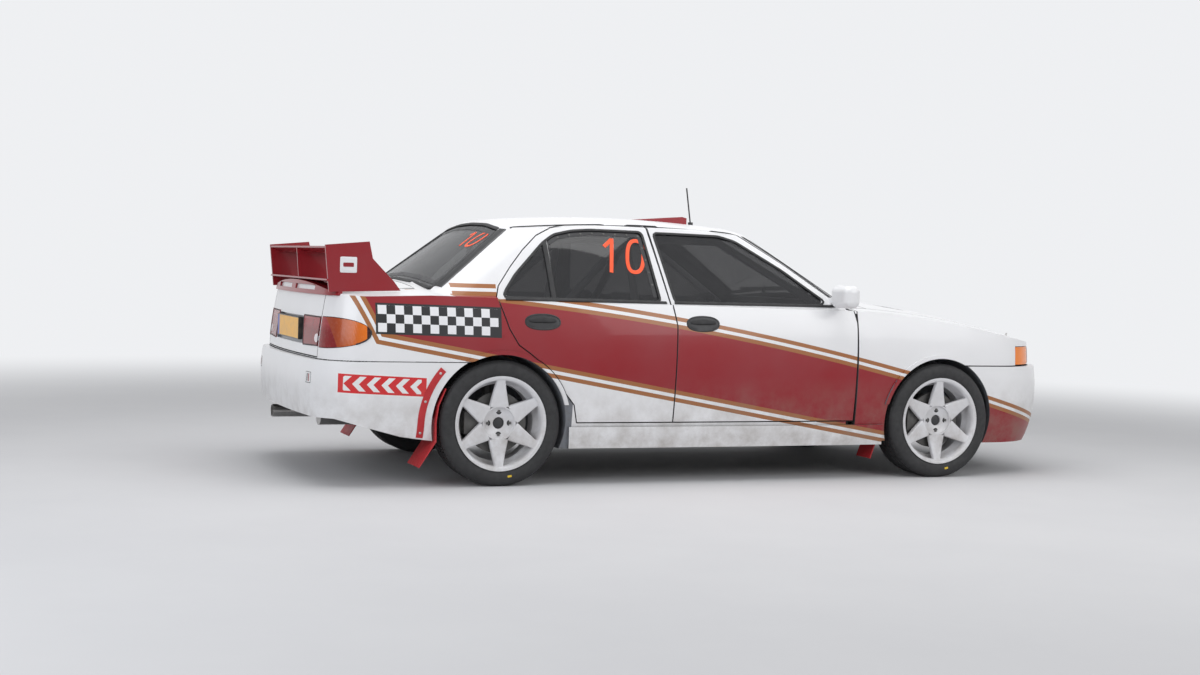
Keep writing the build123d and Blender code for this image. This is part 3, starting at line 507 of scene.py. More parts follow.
def turned(profile, steps, centre, sign):
    """A closed profile of (radius, distance outboard) turned about the axle."""
    angle = np.linspace(0, math.tau, steps, endpoint=False)[:, None]
    radius, out = np.asarray(profile, float).T
    return closed_skin(about_axle(centre, sign, radius, angle, out), wrap_rows=True)


def volume_of(points, faces):
    """Six times the volume inside a closed skin, negative when its faces point inward."""
    total = 0.0
    for face in faces:
        corners = points[np.asarray(face)]
        fan = np.cross(corners[1:-1], corners[2:])
        total += float((fan @ corners[0]).sum())
    return total


def closed_skin(points, wrap_rows=False):
    """Vertices and outward faces of a tube or ring; the ends of a tube are capped."""
    rows, columns = points.shape[:2]
    flat = points.reshape(-1, 3)
    faces = [tuple(face) for face in grid_faces(rows, columns, wrap_rows)]
    if not wrap_rows:
        faces += [tuple(range(columns))[::-1], tuple(range((rows - 1) * columns, rows * columns))]
    if volume_of(flat, faces) < 0:
        faces = [face[::-1] for face in faces]
    return flat, faces


def joined(skins):
    points, faces, start = [], [], 0
    for corners, polygons in skins:
        points.append(np.asarray(corners))
        faces += [tuple(int(v) + start for v in face) for face in polygons]
        start += len(corners)
    return np.concatenate(points), faces


TYRE_HALF = [(0.2205, 0.086), (0.222, 0.0915), (0.228, 0.0935), (0.236, 0.0935), (0.24, 0.096),
             (0.246, 0.099), (0.255, 0.101), (0.265, 0.1018), (0.276, 0.1012), (0.286, 0.099),
             (0.294, 0.0955), (0.299, 0.0915), (0.3035, 0.0855), (0.3055, 0.08)]
TYRE_INSIDE = [(0.224, 0.08), (0.262, 0.092), (0.292, 0.08), (0.297, 0.0)]
TREAD_EDGES = [0.079, 0.056, 0.0545, 0.048, 0.0465, 0.029, 0.0275, 0.0075, 0.006]
TREAD_RADIUS, SHOULDER_RADIUS, TREAD_DEPTH = AXLE_Z, 0.29, 0.0065
TREAD_HALF, CROSS_FROM_Y, SIPE_TO_Y = 0.083, 0.02, 0.05
RIBS = ((0.0475, 0.055), (0.0, 0.0065))
SLANT = 0.33
PITCHES = 56
PITCH_SHARES = np.array([0.0, 0.02, 0.38, 0.4, 0.5, 0.52, 0.94, 0.96])


def tyre_skin(centre, sign):
    """Tread blocks: the radius drops by the groove depth where a lengthwise or slanting cross
    groove runs; the side walls and the inside are one smooth turned curve."""
    outer = TYRE_HALF + [(TREAD_RADIUS, y) for y in TREAD_EDGES]
    profile = np.array(outer + [(r, -y) for r, y in outer[::-1]]
                       + [(r, -y) for r, y in TYRE_INSIDE] + TYRE_INSIDE[:-1][::-1])
    radius, out = profile.T
    off_centre = np.abs(out)
    turn = (np.arange(PITCHES)[:, None] + PITCH_SHARES[None, :]).reshape(-1) * math.tau / PITCHES
    phase = np.tile(PITCH_SHARES, PITCHES)[:, None]
    ribs = np.any([(off_centre > low) & (off_centre < high) for low, high in RIBS], axis=0)
    cross = ((phase >= 0.95) | (phase < 0.01)) & (off_centre > CROSS_FROM_Y)
    sipe = (phase > 0.39) & (phase < 0.51) & (off_centre < SIPE_TO_Y)
    groove = (off_centre < TREAD_HALF) & (radius > 0.3) & (ribs | cross | sipe)
    radius_here = np.where(groove, radius - TREAD_DEPTH, radius)
    slant = np.where(radius > SHOULDER_RADIUS, off_centre * SLANT, 0.0)
    angle = turn[:, None] + slant * sign
    return closed_skin(about_axle(centre, sign, radius_here, angle, out), wrap_rows=True)


def resampled(points, spacing, closed=False):
    """Points at even steps along a polyline of any number of dimensions."""
    line = np.asarray(points, float)
    if closed:
        line = np.vstack([line, line[:1]])
    length = np.concatenate([[0], np.cumsum(np.linalg.norm(np.diff(line, axis=0), axis=1))])
    count = max(3, int(round(length[-1] / spacing)) + (0 if closed else 1))
    at = np.linspace(0, length[-1], count, endpoint=not closed)
    return np.stack([np.interp(at, length, line[:, k]) for k in range(line.shape[1])], -1)


def rounded(points, corner, spacing, closed=True):
    """A polygon with each corner swept by a parabola that starts corner away from it."""
    points = np.asarray(points, float)
    line = []
    for k, here in enumerate(points):
        if not closed and k in (0, len(points) - 1):
            line.append(here)
            continue
        before, after = points[k - 1], points[(k + 1) % len(points)]
        reach = [min(corner, 0.45 * np.linalg.norm(side - here)) for side in (before, after)]
        a = here + (before - here) * reach[0] / np.linalg.norm(before - here)
        b = here + (after - here) * reach[1] / np.linalg.norm(after - here)
        t = np.linspace(0, 1, 7)[:, None]
        line += list((1 - t) ** 2 * a + 2 * t * (1 - t) * here + t ** 2 * b)
    return resampled(line, spacing, closed)


def shifted(outline, distance):
    """A closed plane outline moved outward by a distance along its normals."""
    ahead, behind = np.roll(outline, -1, 0), np.roll(outline, 1, 0)
    run = unit(ahead - behind)
    normal = np.stack([run[:, 1], -run[:, 0]], -1)
    area = 0.5 * np.sum(outline[:, 0] * ahead[:, 1] - ahead[:, 0] * outline[:, 1])
    return outline + normal * distance * np.sign(area)


BODY_SKIN = bvh_of([
    "body_shell", "roof_frame", "rear_quarters", "windscreen", "rear_window", "front_wings",
    "front_bumper", "rear_bumper", "bonnet", "boot_lid", "boot_lamps", "tail_lamps", "headlamps",
    *(f"{end}_{part}_{side}" for end in ("front", "rear") for part in ("door", "window")
      for side in SIDES)])
WING_SKIN = bvh_of(["rear_wing"])
CAST_FROM, CAST_JUMP = (3.0, 1.5, 3.0), 0.006


def laid(outline, axis, sign, skin):
    """Where lines along an axis, started at sign times CAST_FROM on it from the points of a plane
    outline, first meet a skin, and the skin's normals there. A point more than CAST_JUMP nearer or
    further than the middle one of the five about it fell into a gap and is left out."""
    starts = np.insert(np.asarray(outline, float), axis, CAST_FROM[axis] * sign, axis=1)
    direction = np.zeros(3)
    direction[axis] = -sign
    hits = [skin.ray_cast(Vector(start), Vector(direction)) for start in starts]
    nowhere = (np.nan,) * 3
    places, normals = (np.array([nowhere if hit[0] is None else hit[k] for hit in hits]) for k in (0, 1))
    normals[normals @ direction > 0] *= -1
    depth = np.pad(places @ direction, 2, mode="edge")
    near = np.nanmedian(np.lib.stride_tricks.sliding_window_view(depth, 5), axis=1)
    met = np.abs(depth[2:-2] - near) < CAST_JUMP
    return places[met], normals[met]


def from_side(outline, sign, skin=BODY_SKIN):
    """An (x, z) outline laid on the car's left side (sign 1) or right side (sign -1)."""
    return laid(outline, 1, sign, skin)


def from_end(outline, end):
    """A (y, z) outline laid on the car's front (end 1) or back (end -1)."""
    return laid(outline, 0, end, BODY_SKIN)


def from_above(outline):
    """An (x, y) outline laid on the car from above."""
    return laid(outline, 2, 1, BODY_SKIN)


STRIP_SECTION = [(-0.5, -1.0), (-0.5, 0.55), (-0.44, 0.85), (-0.32, 1.0), (0.32, 1.0), (0.44, 0.85),
                 (0.5, 0.55), (0.5, -1.0)]


def ribbon(path, normals, width, height, closed=False, sink=0.0015, section=STRIP_SECTION):
    """A band with rounded edges swept along a path: its section is set out along the skin's
    normal and across the path; width and height may change along it."""
    ahead = np.roll(path, -1, 0) - np.roll(path, 1, 0)
    if not closed:
        ahead[0], ahead[-1] = path[1] - path[0], path[-1] - path[-2]
    ahead = unit(ahead)
    smooth = normals.copy()
    for _ in range(3):
        near = np.roll(smooth, 1, 0) + 2 * smooth + np.roll(smooth, -1, 0)
        if not closed:
            near[0], near[-1] = smooth[0], smooth[-1]
        smooth = unit(near)
    across = unit(np.cross(ahead, smooth))
    shape = np.asarray(section, float)
    up = np.where(shape[:, 1] < 0, shape[:, 1] * sink, 0.0)
    width, height = (np.broadcast_to(size, len(path))[:, None, None] for size in (width, height))
    points = (path[:, None, :] + across[:, None, :] * shape[None, :, :1] * width
              + smooth[:, None, :] * (up[None, :, None] + np.maximum(shape[None, :, 1:], 0) * height))
    return closed_skin(points, wrap_rows=closed)


def patch(outline, lay, thick):
    """A film with a plane outline on a skin: rows shrink from its edge to its middle."""
    outline = np.asarray(outline, float)
    middle = outline.mean(0)
    rows = []
    for share, lift in ((1.0, -0.001), (1.0, thick * 0.6), (0.985, thick), (0.6, thick), (0.2, thick)):
        places, normals = lay(middle + (outline - middle) * share)
        if len(places) < len(outline):
            raise ValueError("a film lies across a gap")
        rows.append(places + normals * lift)
    return closed_skin(np.stack(rows))


def superellipse(count, power):
    """Cosine and sine once round, each raised to a power with its sign kept."""
    turn = np.linspace(0, math.tau, count, endpoint=False)
    return [np.sign(wave) * np.abs(wave) ** power for wave in (np.cos(turn), np.sin(turn))]


def oval(middle, half_width, half_height, power=2.0, count=40, lean=0.0):
    """A superellipse of the given power; lean moves its top along the first axis."""
    first, second = superellipse(count, 2 / power)
    second = second * half_height
    return np.stack([middle[0] + first * half_width + lean * second, middle[1] + second], -1)


def studs(places, normals, profile, sides=12):
    """Small turned parts standing on a skin: profile gives (radius, height) from foot to top."""
    turn = np.linspace(0, math.tau, sides, endpoint=False)
    radius, height = np.asarray(profile, float).T
    skins = []
    for place, normal in zip(places, normals):
        first = unit(np.cross(normal, (0.3, 0.2, 0.9)))
        second = np.cross(normal, first)
        ring = np.cos(turn)[:, None] * first + np.sin(turn)[:, None] * second
        skins.append(closed_skin(place + radius[:, None, None] * ring[None]
                                 + height[:, None, None] * normal[None, None]))
    return joined(skins)


RIM_SECTION = [(0.233, 0.099), (0.233, 0.0935), (0.221, 0.0905), (0.219, 0.06), (0.217, 0.04),
               (0.198, 0.02), (0.198, -0.05), (0.218, -0.062), (0.219, -0.09), (0.233, -0.092),
               (0.233, -0.099), (0.226, -0.099), (0.21, -0.087), (0.21, -0.066), (0.19, -0.052),
               (0.19, 0.02), (0.206, 0.036), (0.2085, 0.06), (0.2095, 0.08), (0.215, 0.0925),
               (0.222, 0.0985)]
SPOKES, SPOKE_FROM, SPOKE_TO = 6, 0.0795, 0.2165


def spoke_skin(centre, sign, turn):
    """One star arm: a rounded trapezoid section that tapers outward and rises to the lip."""
    radius = np.linspace(SPOKE_FROM, SPOKE_TO, 19)[:, None]
    half_width = np.clip(0.05 - 0.236 * (radius - 0.092), 0.0215, 0.0505)
    half_width = half_width + 90 * np.maximum(radius - 0.203, 0) ** 2
    face = 0.0705 + 0.06 * (radius - 0.079) + 0.42 * np.maximum(radius - 0.12, 0) ** 1.6
    back = face - 0.025
    across, deep = superellipse(24, 0.3)
    side = across * half_width * (1 - 0.09 * (deep + 1) / 2)
    out = (face + back) / 2 + deep * (face - back) / 2
    x = centre[0] + radius * math.cos(turn) - side * math.sin(turn)
    z = centre[2] + radius * math.sin(turn) + side * math.cos(turn)
    return closed_skin(np.stack(np.broadcast_arrays(x, centre[1] + sign * out, z), -1))


HUB_SECTION = [(0.029, 0.042), (0.082, 0.042), (0.086, 0.046), (0.086, 0.066), (0.084, 0.07),
               (0.0805, 0.0705), (0.0785, 0.069), (0.0775, 0.062), (0.071, 0.0565), (0.0315, 0.056),
               (0.029, 0.0545)]
LUGS, LUG_CIRCLE = 4, 0.05715


def rim_skin(centre, sign):
    """Barrel, outer lip, six star arms and the hub with its bowl."""
    parts = [turned(RIM_SECTION, 96, centre, sign), turned(HUB_SECTION, 72, centre, sign)]
    parts += [spoke_skin(centre, sign, math.pi / 2 + n * math.tau / SPOKES) for n in range(SPOKES)]
    return joined(parts)


def around_hub(centre, sign, profile, steps):
    """The same turned part at each of the lugs."""
    lugs = about_axle(centre, sign, LUG_CIRCLE, np.arange(LUGS) * math.tau / LUGS, 0)
    return joined([turned(profile, steps, lug, sign) for lug in lugs])


LUG_POCKET = [(0.0001, 0.054), (0.0001, 0.0563), (0.015, 0.0563), (0.0156, 0.0558), (0.0156, 0.054)]
LUG_NUT = [(0.0001, 0.0555), (0.0001, 0.0625), (0.005, 0.0625), (0.0078, 0.061), (0.0084, 0.056)]
GREASE_CAP = [(0.0001, 0.044), (0.0001, 0.05), (0.018, 0.05), (0.025, 0.0485), (0.0285, 0.045)]
MARK_TURNS, MARK_RADIUS, MARK_OUT = np.linspace(-1.42, -1.34, 8), 0.262, 0.1018

for wheel, (x, y, sign) in WHEELS.items():
    centre = (x, y, AXLE_Z)
    body = "wheel_" + wheel
    mesh_piece("tyre_form_" + wheel, *tyre_skin(centre, sign), body, "tyre", [TYRE_RUBBER],
               ("tyre_" + wheel,), 35.0)
    mesh_piece("rim_form_" + wheel, *rim_skin(centre, sign), body, "rim_white", [RIM_PAINT],
               ("rim_" + wheel,), 40.0)
    trim("lug_pockets_" + wheel, around_hub(centre, sign, LUG_POCKET, 24), body, "steel", BLACK_TRIM)
    mesh_piece("lug_nuts_" + wheel, *around_hub(centre, sign, LUG_NUT, 6), body, "steel",
               [DARK_STEEL], sharp=20.0)
    trim("grease_cap_" + wheel, turned(GREASE_CAP, 40, centre, sign), body, "steel", BLACK_TRIM)
    mark = about_axle(centre, sign, MARK_RADIUS, MARK_TURNS, MARK_OUT)
    trim("tyre_mark_" + wheel, ribbon(mark, np.tile((0.0, sign, 0.0), (8, 1)), 0.01, 0.0006), body,
         "tyre", MARK_YELLOW)

# Trim laid on the finished skins. Outlines are (x, z) on the sides and (y, z) on the ends.
LEFT_RIGHT = tuple(SIDES.items())
FRONT_GLASS = [(-0.284, 0.921), (-0.352, 1.266), (0.024, 1.262), (0.118, 1.238), (0.37, 1.094),
               (0.6, 0.936), (0.56, 0.921)]
REAR_GLASS = [(-0.37, 0.921), (-0.422, 1.268), (-0.702, 1.27), (-0.8, 1.262), (-0.896, 1.24),
              (-0.96, 1.197), (-1.033, 1.125), (-1.123, 1.036), (-1.184, 0.955), (-1.196, 0.926)]
SCREENS = {
    "windscreen": (1, [(-0.64, 0.934), (-0.33, 0.962), (0, 0.972), (0.33, 0.962), (0.64, 0.934),
                       (0.478, 1.268), (0.24, 1.298), (0, 1.304), (-0.24, 1.298), (-0.478, 1.268)]),
    "backlight": (-1, [(-0.592, 0.96), (-0.3, 0.988), (0, 0.999), (0.3, 0.988), (0.592, 0.96),
                       (0.462, 1.258), (0.23, 1.284), (0, 1.29), (-0.23, 1.284), (-0.462, 1.258)]),
}
BELT_RUNS = {"front": [(0.69, 0.9145), (-0.29, 0.9145)], "rear": [(-0.318, 0.9145), (-1.19, 0.9145)]}
HANDLES = {"front": (-0.15, 0.812), "rear": (-1.017, 0.808)}
HANDLE_DISH = (0.09, 0.0375, 2.3, 44)
HANDLE_RIM = [(-0.5, -1.0), (-0.5, 0.6), (-0.2, 1.0), (0.3, 0.7), (0.5, 0.1), (0.5, -1.0)]
QUARTER_BAR = [(-0.9395, 0.921), (-0.953, 1.205)]
GLASS_BAND = [(-0.39, 0.94), (-0.436, 1.252), (-0.702, 1.254), (-0.796, 1.246), (-0.886, 1.226),
              (-0.93, 1.197)]
BAND_THICK = 0.0012
BACKLIGHT_EDGE = [(0.614, 0.966), (0.56, 1.098), (0.489, 1.262)]
FASTENER = [(0.0062, -0.0005), (0.0062, 0.0012), (0.005, 0.0022), (0.0022, 0.0026), (0.0004, 0.0027)]
PIN = [(0.02, -0.0005), (0.02, 0.0012), (0.0185, 0.002), (0.0085, 0.0022), (0.008, 0.005),
       (0.005, 0.006), (0.0045, 0.017), (0.003, 0.019), (0.0005, 0.0195)]
PINS = {"bonnet": [(1.95, 0.46), (1.95, -0.46)], "boot": [(-1.93, 0.5), (-1.93, -0.5)]}


def side_ribbon(name, line, sign, body, width, height, finish=RUBBER, slot="black_plastic",
                closed=False, section=STRIP_SECTION):
    band = ribbon(*from_side(line, sign), width, height, closed, section=section)
    trim(name, band, body, slot, finish)


def end_ribbon(name, line, end, width, height, closed=True, finish=RUBBER, slot="black_plastic",
               body="root"):
    trim(name, ribbon(*from_end(line, end), width, height, closed), body, slot, finish)


for end, outline in (("front", FRONT_GLASS), ("rear", REAR_GLASS)):
    ring = rounded(outline, 0.02, 0.01)
    x, z = HANDLES[end]
    dish = oval((x, z), *HANDLE_DISH)
    blade = resampled([(x - 0.07, z + 0.006), (x, z + 0.011), (x + 0.07, z + 0.006)], 0.006)
    for side, sign in LEFT_RIGHT:
        body = f"door_{end}_{side}"
        side_ribbon(f"{end}_glass_rubber_{side}", shifted(ring, 0.003), sign, body, 0.013, 0.0028,
                    closed=True)
        side_ribbon(f"{end}_belt_strip_{side}", resampled(BELT_RUNS[end], 0.02), sign, body,
                    0.014, 0.006)
        trim(f"{end}_handle_dish_{side}", patch(dish, partial(from_side, sign=sign), 0.001), body,
             finish=BLACK_TRIM)
        side_ribbon(f"{end}_handle_rim_{side}", dish, sign, body, 0.007, 0.0034, BLACK_TRIM,
                    closed=True, section=HANDLE_RIM)
        places, normals = from_side(blade, sign)
        swell = np.sin(np.linspace(0.12, math.pi - 0.12, len(places))) ** 0.45
        trim(f"{end}_handle_blade_{side}", ribbon(places, normals, 0.03 * swell, 0.011 * swell), body)

for side, sign in LEFT_RIGHT:
    body = "door_rear_" + side
    side_ribbon("quarter_light_bar_" + side, resampled(QUARTER_BAR, 0.012), sign, body, 0.024,
                0.0035)
    band = rounded(GLASS_BAND, 0.02, 0.01, False)
    side_ribbon("glass_edge_band_" + side, band, sign, body, 0.024, BAND_THICK, BLACK_TRIM)
    heads = [(radius, height + BAND_THICK) for radius, height in FASTENER]
    dots = resampled(band, 0.062)[1:-1]
    trim("glass_fasteners_" + side, studs(*from_side(dots, sign), heads), body, "steel", DARK_STEEL)

for name, (end, outline) in SCREENS.items():
    ring = rounded(outline, 0.03, 0.014)
    end_ribbon(name + "_rubber", shifted(ring, 0.004), end, 0.02, 0.0032)
    end_ribbon(name + "_border", shifted(ring, -0.02), end, 0.03, 0.0016, finish=BLACK_TRIM)

# Black edge of the backlight, from its foot to the roof on both sides.
for side, sign in LEFT_RIGHT:
    edge = resampled(np.array(BACKLIGHT_EDGE) * (sign, 1), 0.012)
    end_ribbon("backlight_edge_" + side, edge, -1, 0.052, 0.0026, False, EDGE_BLACK)

# Drip channel: (x, z) along the windscreen pillar from the side, (x, y) over the doors from above.
PILLAR_RUN = [(0.668, 0.955), (0.402, 1.138), (0.19, 1.262)]
ROOF_RUN = [(0.12, 0.546), (-0.1, 0.5365), (-0.5, 0.5345), (-0.8, 0.533), (-0.93, 0.53),
            (-1.03, 0.524), (-1.1, 0.518)]
for side, sign in LEFT_RIGHT:
    lower = from_side(resampled(PILLAR_RUN, 0.02), sign)
    upper = from_above(resampled(ROOF_RUN, 0.02) * (1, sign))
    both = resampled(np.hstack([np.concatenate(pair) for pair in zip(lower, upper)]), 0.02)
    trim("drip_channel_" + side, ribbon(both[:, :3], both[:, 3:], 0.009, 0.005))

# Race number: a 1 and a 0 as bands of film on each rear door glass and the backlight.
NUMBER_PLACES = {"left": (-0.48, -0.61), "right": (-0.6, -0.47)}
NUMBER_Z, NUMBER_RISE = 1.145, 0.085
BACKLIGHT_ONE = [(-0.262, 1.172), (-0.24, 1.246), (-0.208, 1.23)]
for side, sign in LEFT_RIGHT:
    lean = -0.16 * sign
    one_x, zero_x = NUMBER_PLACES[side]
    stem = [(one_x - lean * NUMBER_RISE, NUMBER_Z - NUMBER_RISE),
            (one_x + lean * NUMBER_RISE, NUMBER_Z + NUMBER_RISE),
            (one_x + lean * 0.045 + 0.042 * sign, NUMBER_Z + 0.045)]
    zero = oval((zero_x, NUMBER_Z), 0.044, 0.08, 2.5, 56, lean)
    for name, line, closed in (("one", resampled(stem, 0.008), False), ("zero", zero, True)):
        side_ribbon(f"number_{name}_{side}", line, sign, "door_rear_" + side, 0.02, 0.0009,
                    NUMBER_ORANGE, "glass", closed)
for name, line, closed in (
        ("one", resampled(BACKLIGHT_ONE, 0.006), False),
        ("zero", oval((-0.365, 1.208), 0.044, 0.036, 2.5, 48, -0.25), True)):
    end_ribbon(f"number_{name}_backlight", line, -1, 0.016, 0.0009, closed, NUMBER_ORANGE, "glass")

# Tail lamps: dark rims round the lid's lens and round the tip of the corner lens, a Bezier curve
# that stops where the lid's gap begins.
LID_LENS = [(0.339, 0.662), (0.584, 0.668), (0.584, 0.804), (0.3, 0.804)]
CORNER_LENS = np.array([(-2.033, 0.808), (-1.93, 0.8), (-1.83, 0.775), (-1.825, 0.705),
                        (-1.93, 0.678), (-2.065, 0.663)])
LID_GAP_X = -2.012
share = np.linspace(0, 1, 48)[:, None]
tip = sum(math.comb(5, k) * share ** k * (1 - share) ** (5 - k) * point
          for k, point in enumerate(CORNER_LENS))
tip = resampled(tip[tip[:, 0] > LID_GAP_X], 0.008)
for side, sign in LEFT_RIGHT:
    ring = rounded(np.array(LID_LENS) * (sign, 1), 0.006, 0.008)
    end_ribbon("lid_lamp_rim_" + side, ring, -1, 0.005, 0.0018, body="boot")
    side_ribbon("tail_lamp_rim_" + side, tip, sign, "root", 0.007, 0.0022)

# Red guard band along the rear edge of each rear arch, with its quick fasteners.
GUARD_RADIUS, GUARD_THICK = 0.398, 0.0035
turn = np.linspace(2.42, math.pi, 22)
guard = np.concatenate([np.stack([REAR_AXLE_X + GUARD_RADIUS * np.cos(turn),
                                  AXLE_Z + GUARD_RADIUS * np.sin(turn)], -1),
                        [(-1.619, 0.275), (-1.622, 0.24)]])
for side, sign in LEFT_RIGHT:
    places, normals = from_side(resampled(guard, 0.012), sign)
    trim("arch_guard_" + side, ribbon(places, normals, 0.034, GUARD_THICK), "root", "paint_red",
         FLAP_RED)
    spots = [2, len(places) // 2, len(places) - 3]
    heads = studs(places[spots] + normals[spots] * GUARD_THICK, normals[spots], FASTENER, 14)
    trim("arch_guard_fasteners_" + side, heads, "root", "steel", STEEL)

# Front lamps: a black frame round each clear lens, and two bright rings with their bowls in it.
LAMP_FRAME = [(0.338, 0.62), (0.632, 0.62), (0.632, 0.706), (0.338, 0.706)]
LAMP_Z, LAMP_RINGS = 0.663, ((0.4, 0.033), (0.52, 0.036))
for side, sign in LEFT_RIGHT:
    frame_line = rounded(np.array(LAMP_FRAME) * (sign, 1), 0.01, 0.008)
    end_ribbon("headlamp_frame_" + side, frame_line, 1, 0.006, 0.0018)
    for n, (y, radius) in enumerate(LAMP_RINGS):
        ring = oval((y * sign, LAMP_Z), radius, radius)
        end_ribbon(f"headlamp_ring_{n}_{side}", ring, 1, 0.006, 0.0012, True, STEEL, "lamp_clear")
        bowl = oval((y * sign, LAMP_Z), radius * 0.84, radius * 0.84)
        trim(f"headlamp_bowl_{n}_{side}", patch(bowl, partial(from_end, end=1), 0.0006), "root",
             "lamp_clear", LAMP_BOWL)

# Bonnet pins and boot lid pins.
for body, spots in PINS.items():
    trim(body + "_pins", studs(*from_above(spots), PIN, 24), body, "steel", STEEL)

# Wipers parked at the foot of the windscreen.
for name, blade, arm in (
        ("driver", [(0.02, 0.995), (0.5, 0.978)], [(0.34, 0.958), (0.26, 0.992)]),
        ("codriver", [(-0.5, 0.978), (-0.02, 0.995)], [(-0.12, 0.962), (-0.26, 0.992)])):
    end_ribbon("wiper_blade_" + name, resampled(blade, 0.02), 1, 0.007, 0.014, False)
    places, normals = from_end(resampled(arm, 0.008), 1)
    trim("wiper_arm_" + name, ribbon(places, normals, 0.012, 0.018, sink=0.01), finish=BLACK_TRIM)

# Plain films: a white square with a red bar on each wing end plate, a small one on the bumper.
WING_FILM, BUMPER_FILM_Z, FILM_POWER = (-1.964, 1.06), 0.517, 14.0
for side, sign in LEFT_RIGHT:
    lay = partial(from_side, sign=sign, skin=WING_SKIN)
    trim("wing_film_" + side, patch(oval(WING_FILM, 0.041, 0.038, FILM_POWER), lay, 0.0006), "boot",
         "paint_white", WHITE_PAINT)
    trim("wing_film_bar_" + side, patch(oval(WING_FILM, 0.026, 0.01, 9.0), lay, 0.0012), "boot",
         "paint_red", RED_PAINT)
    for part, finish, slot, y, half, rise, thick in (
            ("_edge", BLACK_TRIM, "black_plastic", 0.6, 0.037, 0.027, 0.0004),
            ("", WHITE_PAINT, "paint_white", 0.6, 0.034, 0.024, 0.0008),
            ("_bar", RED_PAINT, "paint_red", 0.611, 0.007, 0.019, 0.0012),
            ("_block", BLACK_TRIM, "black_plastic", 0.588, 0.006, 0.019, 0.0012)):
        outline = oval((y * sign, BUMPER_FILM_Z), half, rise, FILM_POWER)
        trim(f"bumper_film{part}_{side}", patch(outline, partial(from_end, end=-1), thick), "root",
             slot, finish)

# Bucket seats: a moulded shell lofted across the car, padded faces, four belts and a buckle.
SEAT_Y, SEAT_HALF = 0.35, 0.243
SEAT_BACK = [(0.245, 0.3), (0.0, 0.292), (-0.2, 0.285), (-0.285, 0.32), (-0.33, 0.5),
             (-0.375, 0.7), (-0.418, 0.925), (-0.405, 0.952)]
SEAT_DISH = [(-0.37, 0.955), (-0.338, 0.88), (-0.29, 0.7), (-0.245, 0.53), (-0.205, 0.405),
             (-0.125, 0.34), (0.05, 0.347), (0.243, 0.364)]
SEAT_WALL = [(-0.385, 0.955), (-0.334, 0.925), (-0.3, 0.72), (-0.215, 0.57), (-0.155, 0.43),
             (-0.05, 0.41), (0.12, 0.418), (0.252, 0.394)]
PADS = {"base": (0.56, 0.985, 0.168, 0.034), "back": (0.22, 0.545, 0.172, 0.032),
        "head": (0.045, 0.18, 0.1, 0.026)}
CHANNELS = (0.25, 0.5, 0.75)


def at_shares(line, share):
    """Points of a polyline at shares of the way through its list of points."""
    at = np.asarray(share) * (len(line) - 1)
    return np.stack([np.interp(at, np.arange(len(line)), column) for column in line.T], -1)


def eased(line, count):
    """A polyline through its points, smoothed by 60 passes of a 1-2-1 filter."""
    line = resampled(line, 0.004)
    for _ in range(60):
        line[1:-1] = (line[:-2] + 2 * line[1:-1] + line[2:]) / 4
    return at_shares(line, np.linspace(0, 1, count))


DISH, WALL, BACK = eased(SEAT_DISH, 60), eased(SEAT_WALL, 60), eased(SEAT_BACK, 60)


def at_y(side_view, y):
    """Points (x, z) of the side view, placed at y."""
    return np.stack(np.broadcast_arrays(side_view[..., 0], y, side_view[..., 1]), -1)


def narrowed(z):
    """The share of the full width that the shell keeps at a height: narrower at the head."""
    rise = np.clip((z - 0.76) / 0.11, 0, 1)
    return 1 - 0.34 * rise * rise * (3 - 2 * rise)


def seat_shell(middle):
    """Closed outline in side view, carried across the seat: dish in the middle, wall at the sides."""
    across = np.sin(np.linspace(-1, 1, 41) * math.pi / 2)
    climb = np.clip((np.abs(across) - 0.62) / 0.26, 0, 1)[:, None, None]
    climb = climb * climb * (3 - 2 * climb)
    face = DISH[None] * (1 - climb) + WALL[None] * climb
    outline = np.concatenate([face, np.broadcast_to(BACK[None], face.shape)], 1)
    centre = outline.mean(1, keepdims=True)
    end = 1 - 0.1 * np.clip((np.abs(across) - 0.93) / 0.07, 0, 1)[:, None, None] ** 2
    outline = centre + (outline - centre) * end
    y = middle + across[:, None] * SEAT_HALF * narrowed(outline[..., 1])
    return closed_skin(at_y(outline, y))


def dish_frame(share):
    """Points of the dish line at shares of its length, and the normals toward the sitter."""
    run = unit(at_shares(np.gradient(DISH, axis=0), share))
    return at_shares(DISH, share), np.stack([-run[:, 1], run[:, 0]], -1)


def pad_skin(middle, start, end, half, thick):
    """A crowned pad: a flattened oval section carried along the dish, thinner in its sewn channels
    and toward both ends."""
    along = np.linspace(0, 1, 41)
    point, normal = dish_frame(start + (end - start) * along)
    taper = np.sqrt(np.maximum(1 - np.abs(2 * along - 1) ** 9, 0.002))
    sewn = 1 - 0.38 * sum(np.exp(-((along - channel) / 0.022) ** 2) for channel in CHANNELS)
    side, rise = superellipse(40, 0.55)[0], superellipse(40, 0.7)[1]
    up = np.where(rise > 0, rise, -0.12)
    pull = 1 - 0.05 * np.sin(along * math.pi)
    y = middle + side[None] * half * (pull * (0.9 + 0.1 * taper))[:, None]
    lift = up[None] * thick * np.where(up[None] > 0, (taper * sewn)[:, None], 1.0)
    return closed_skin(at_y(point[:, None] + normal[:, None] * lift[..., None], y))


# Belt runs as (share of the dish line, distance from the seat's middle).
BELTS = {"shoulder": [(0.185, 0.088), (0.33, 0.08), (0.45, 0.066), (0.545, 0.045), (0.61, 0.024)],
         "lap": [(0.575, 0.186), (0.59, 0.11), (0.612, 0.03)]}
BELT_LIFT, BUCKLE_SHARE = 0.04, 0.612
BUCKLE = [(0.031, 0.0), (0.031, 0.01), (0.027, 0.014), (0.012, 0.015), (0.001, 0.015)]


def on_dish(shares, y, lift):
    """Places raised off the dish line at y, and their normals, in the car's own axes."""
    point, normal = dish_frame(shares)
    return at_y(point + normal * lift, y), at_y(normal, 0.0)


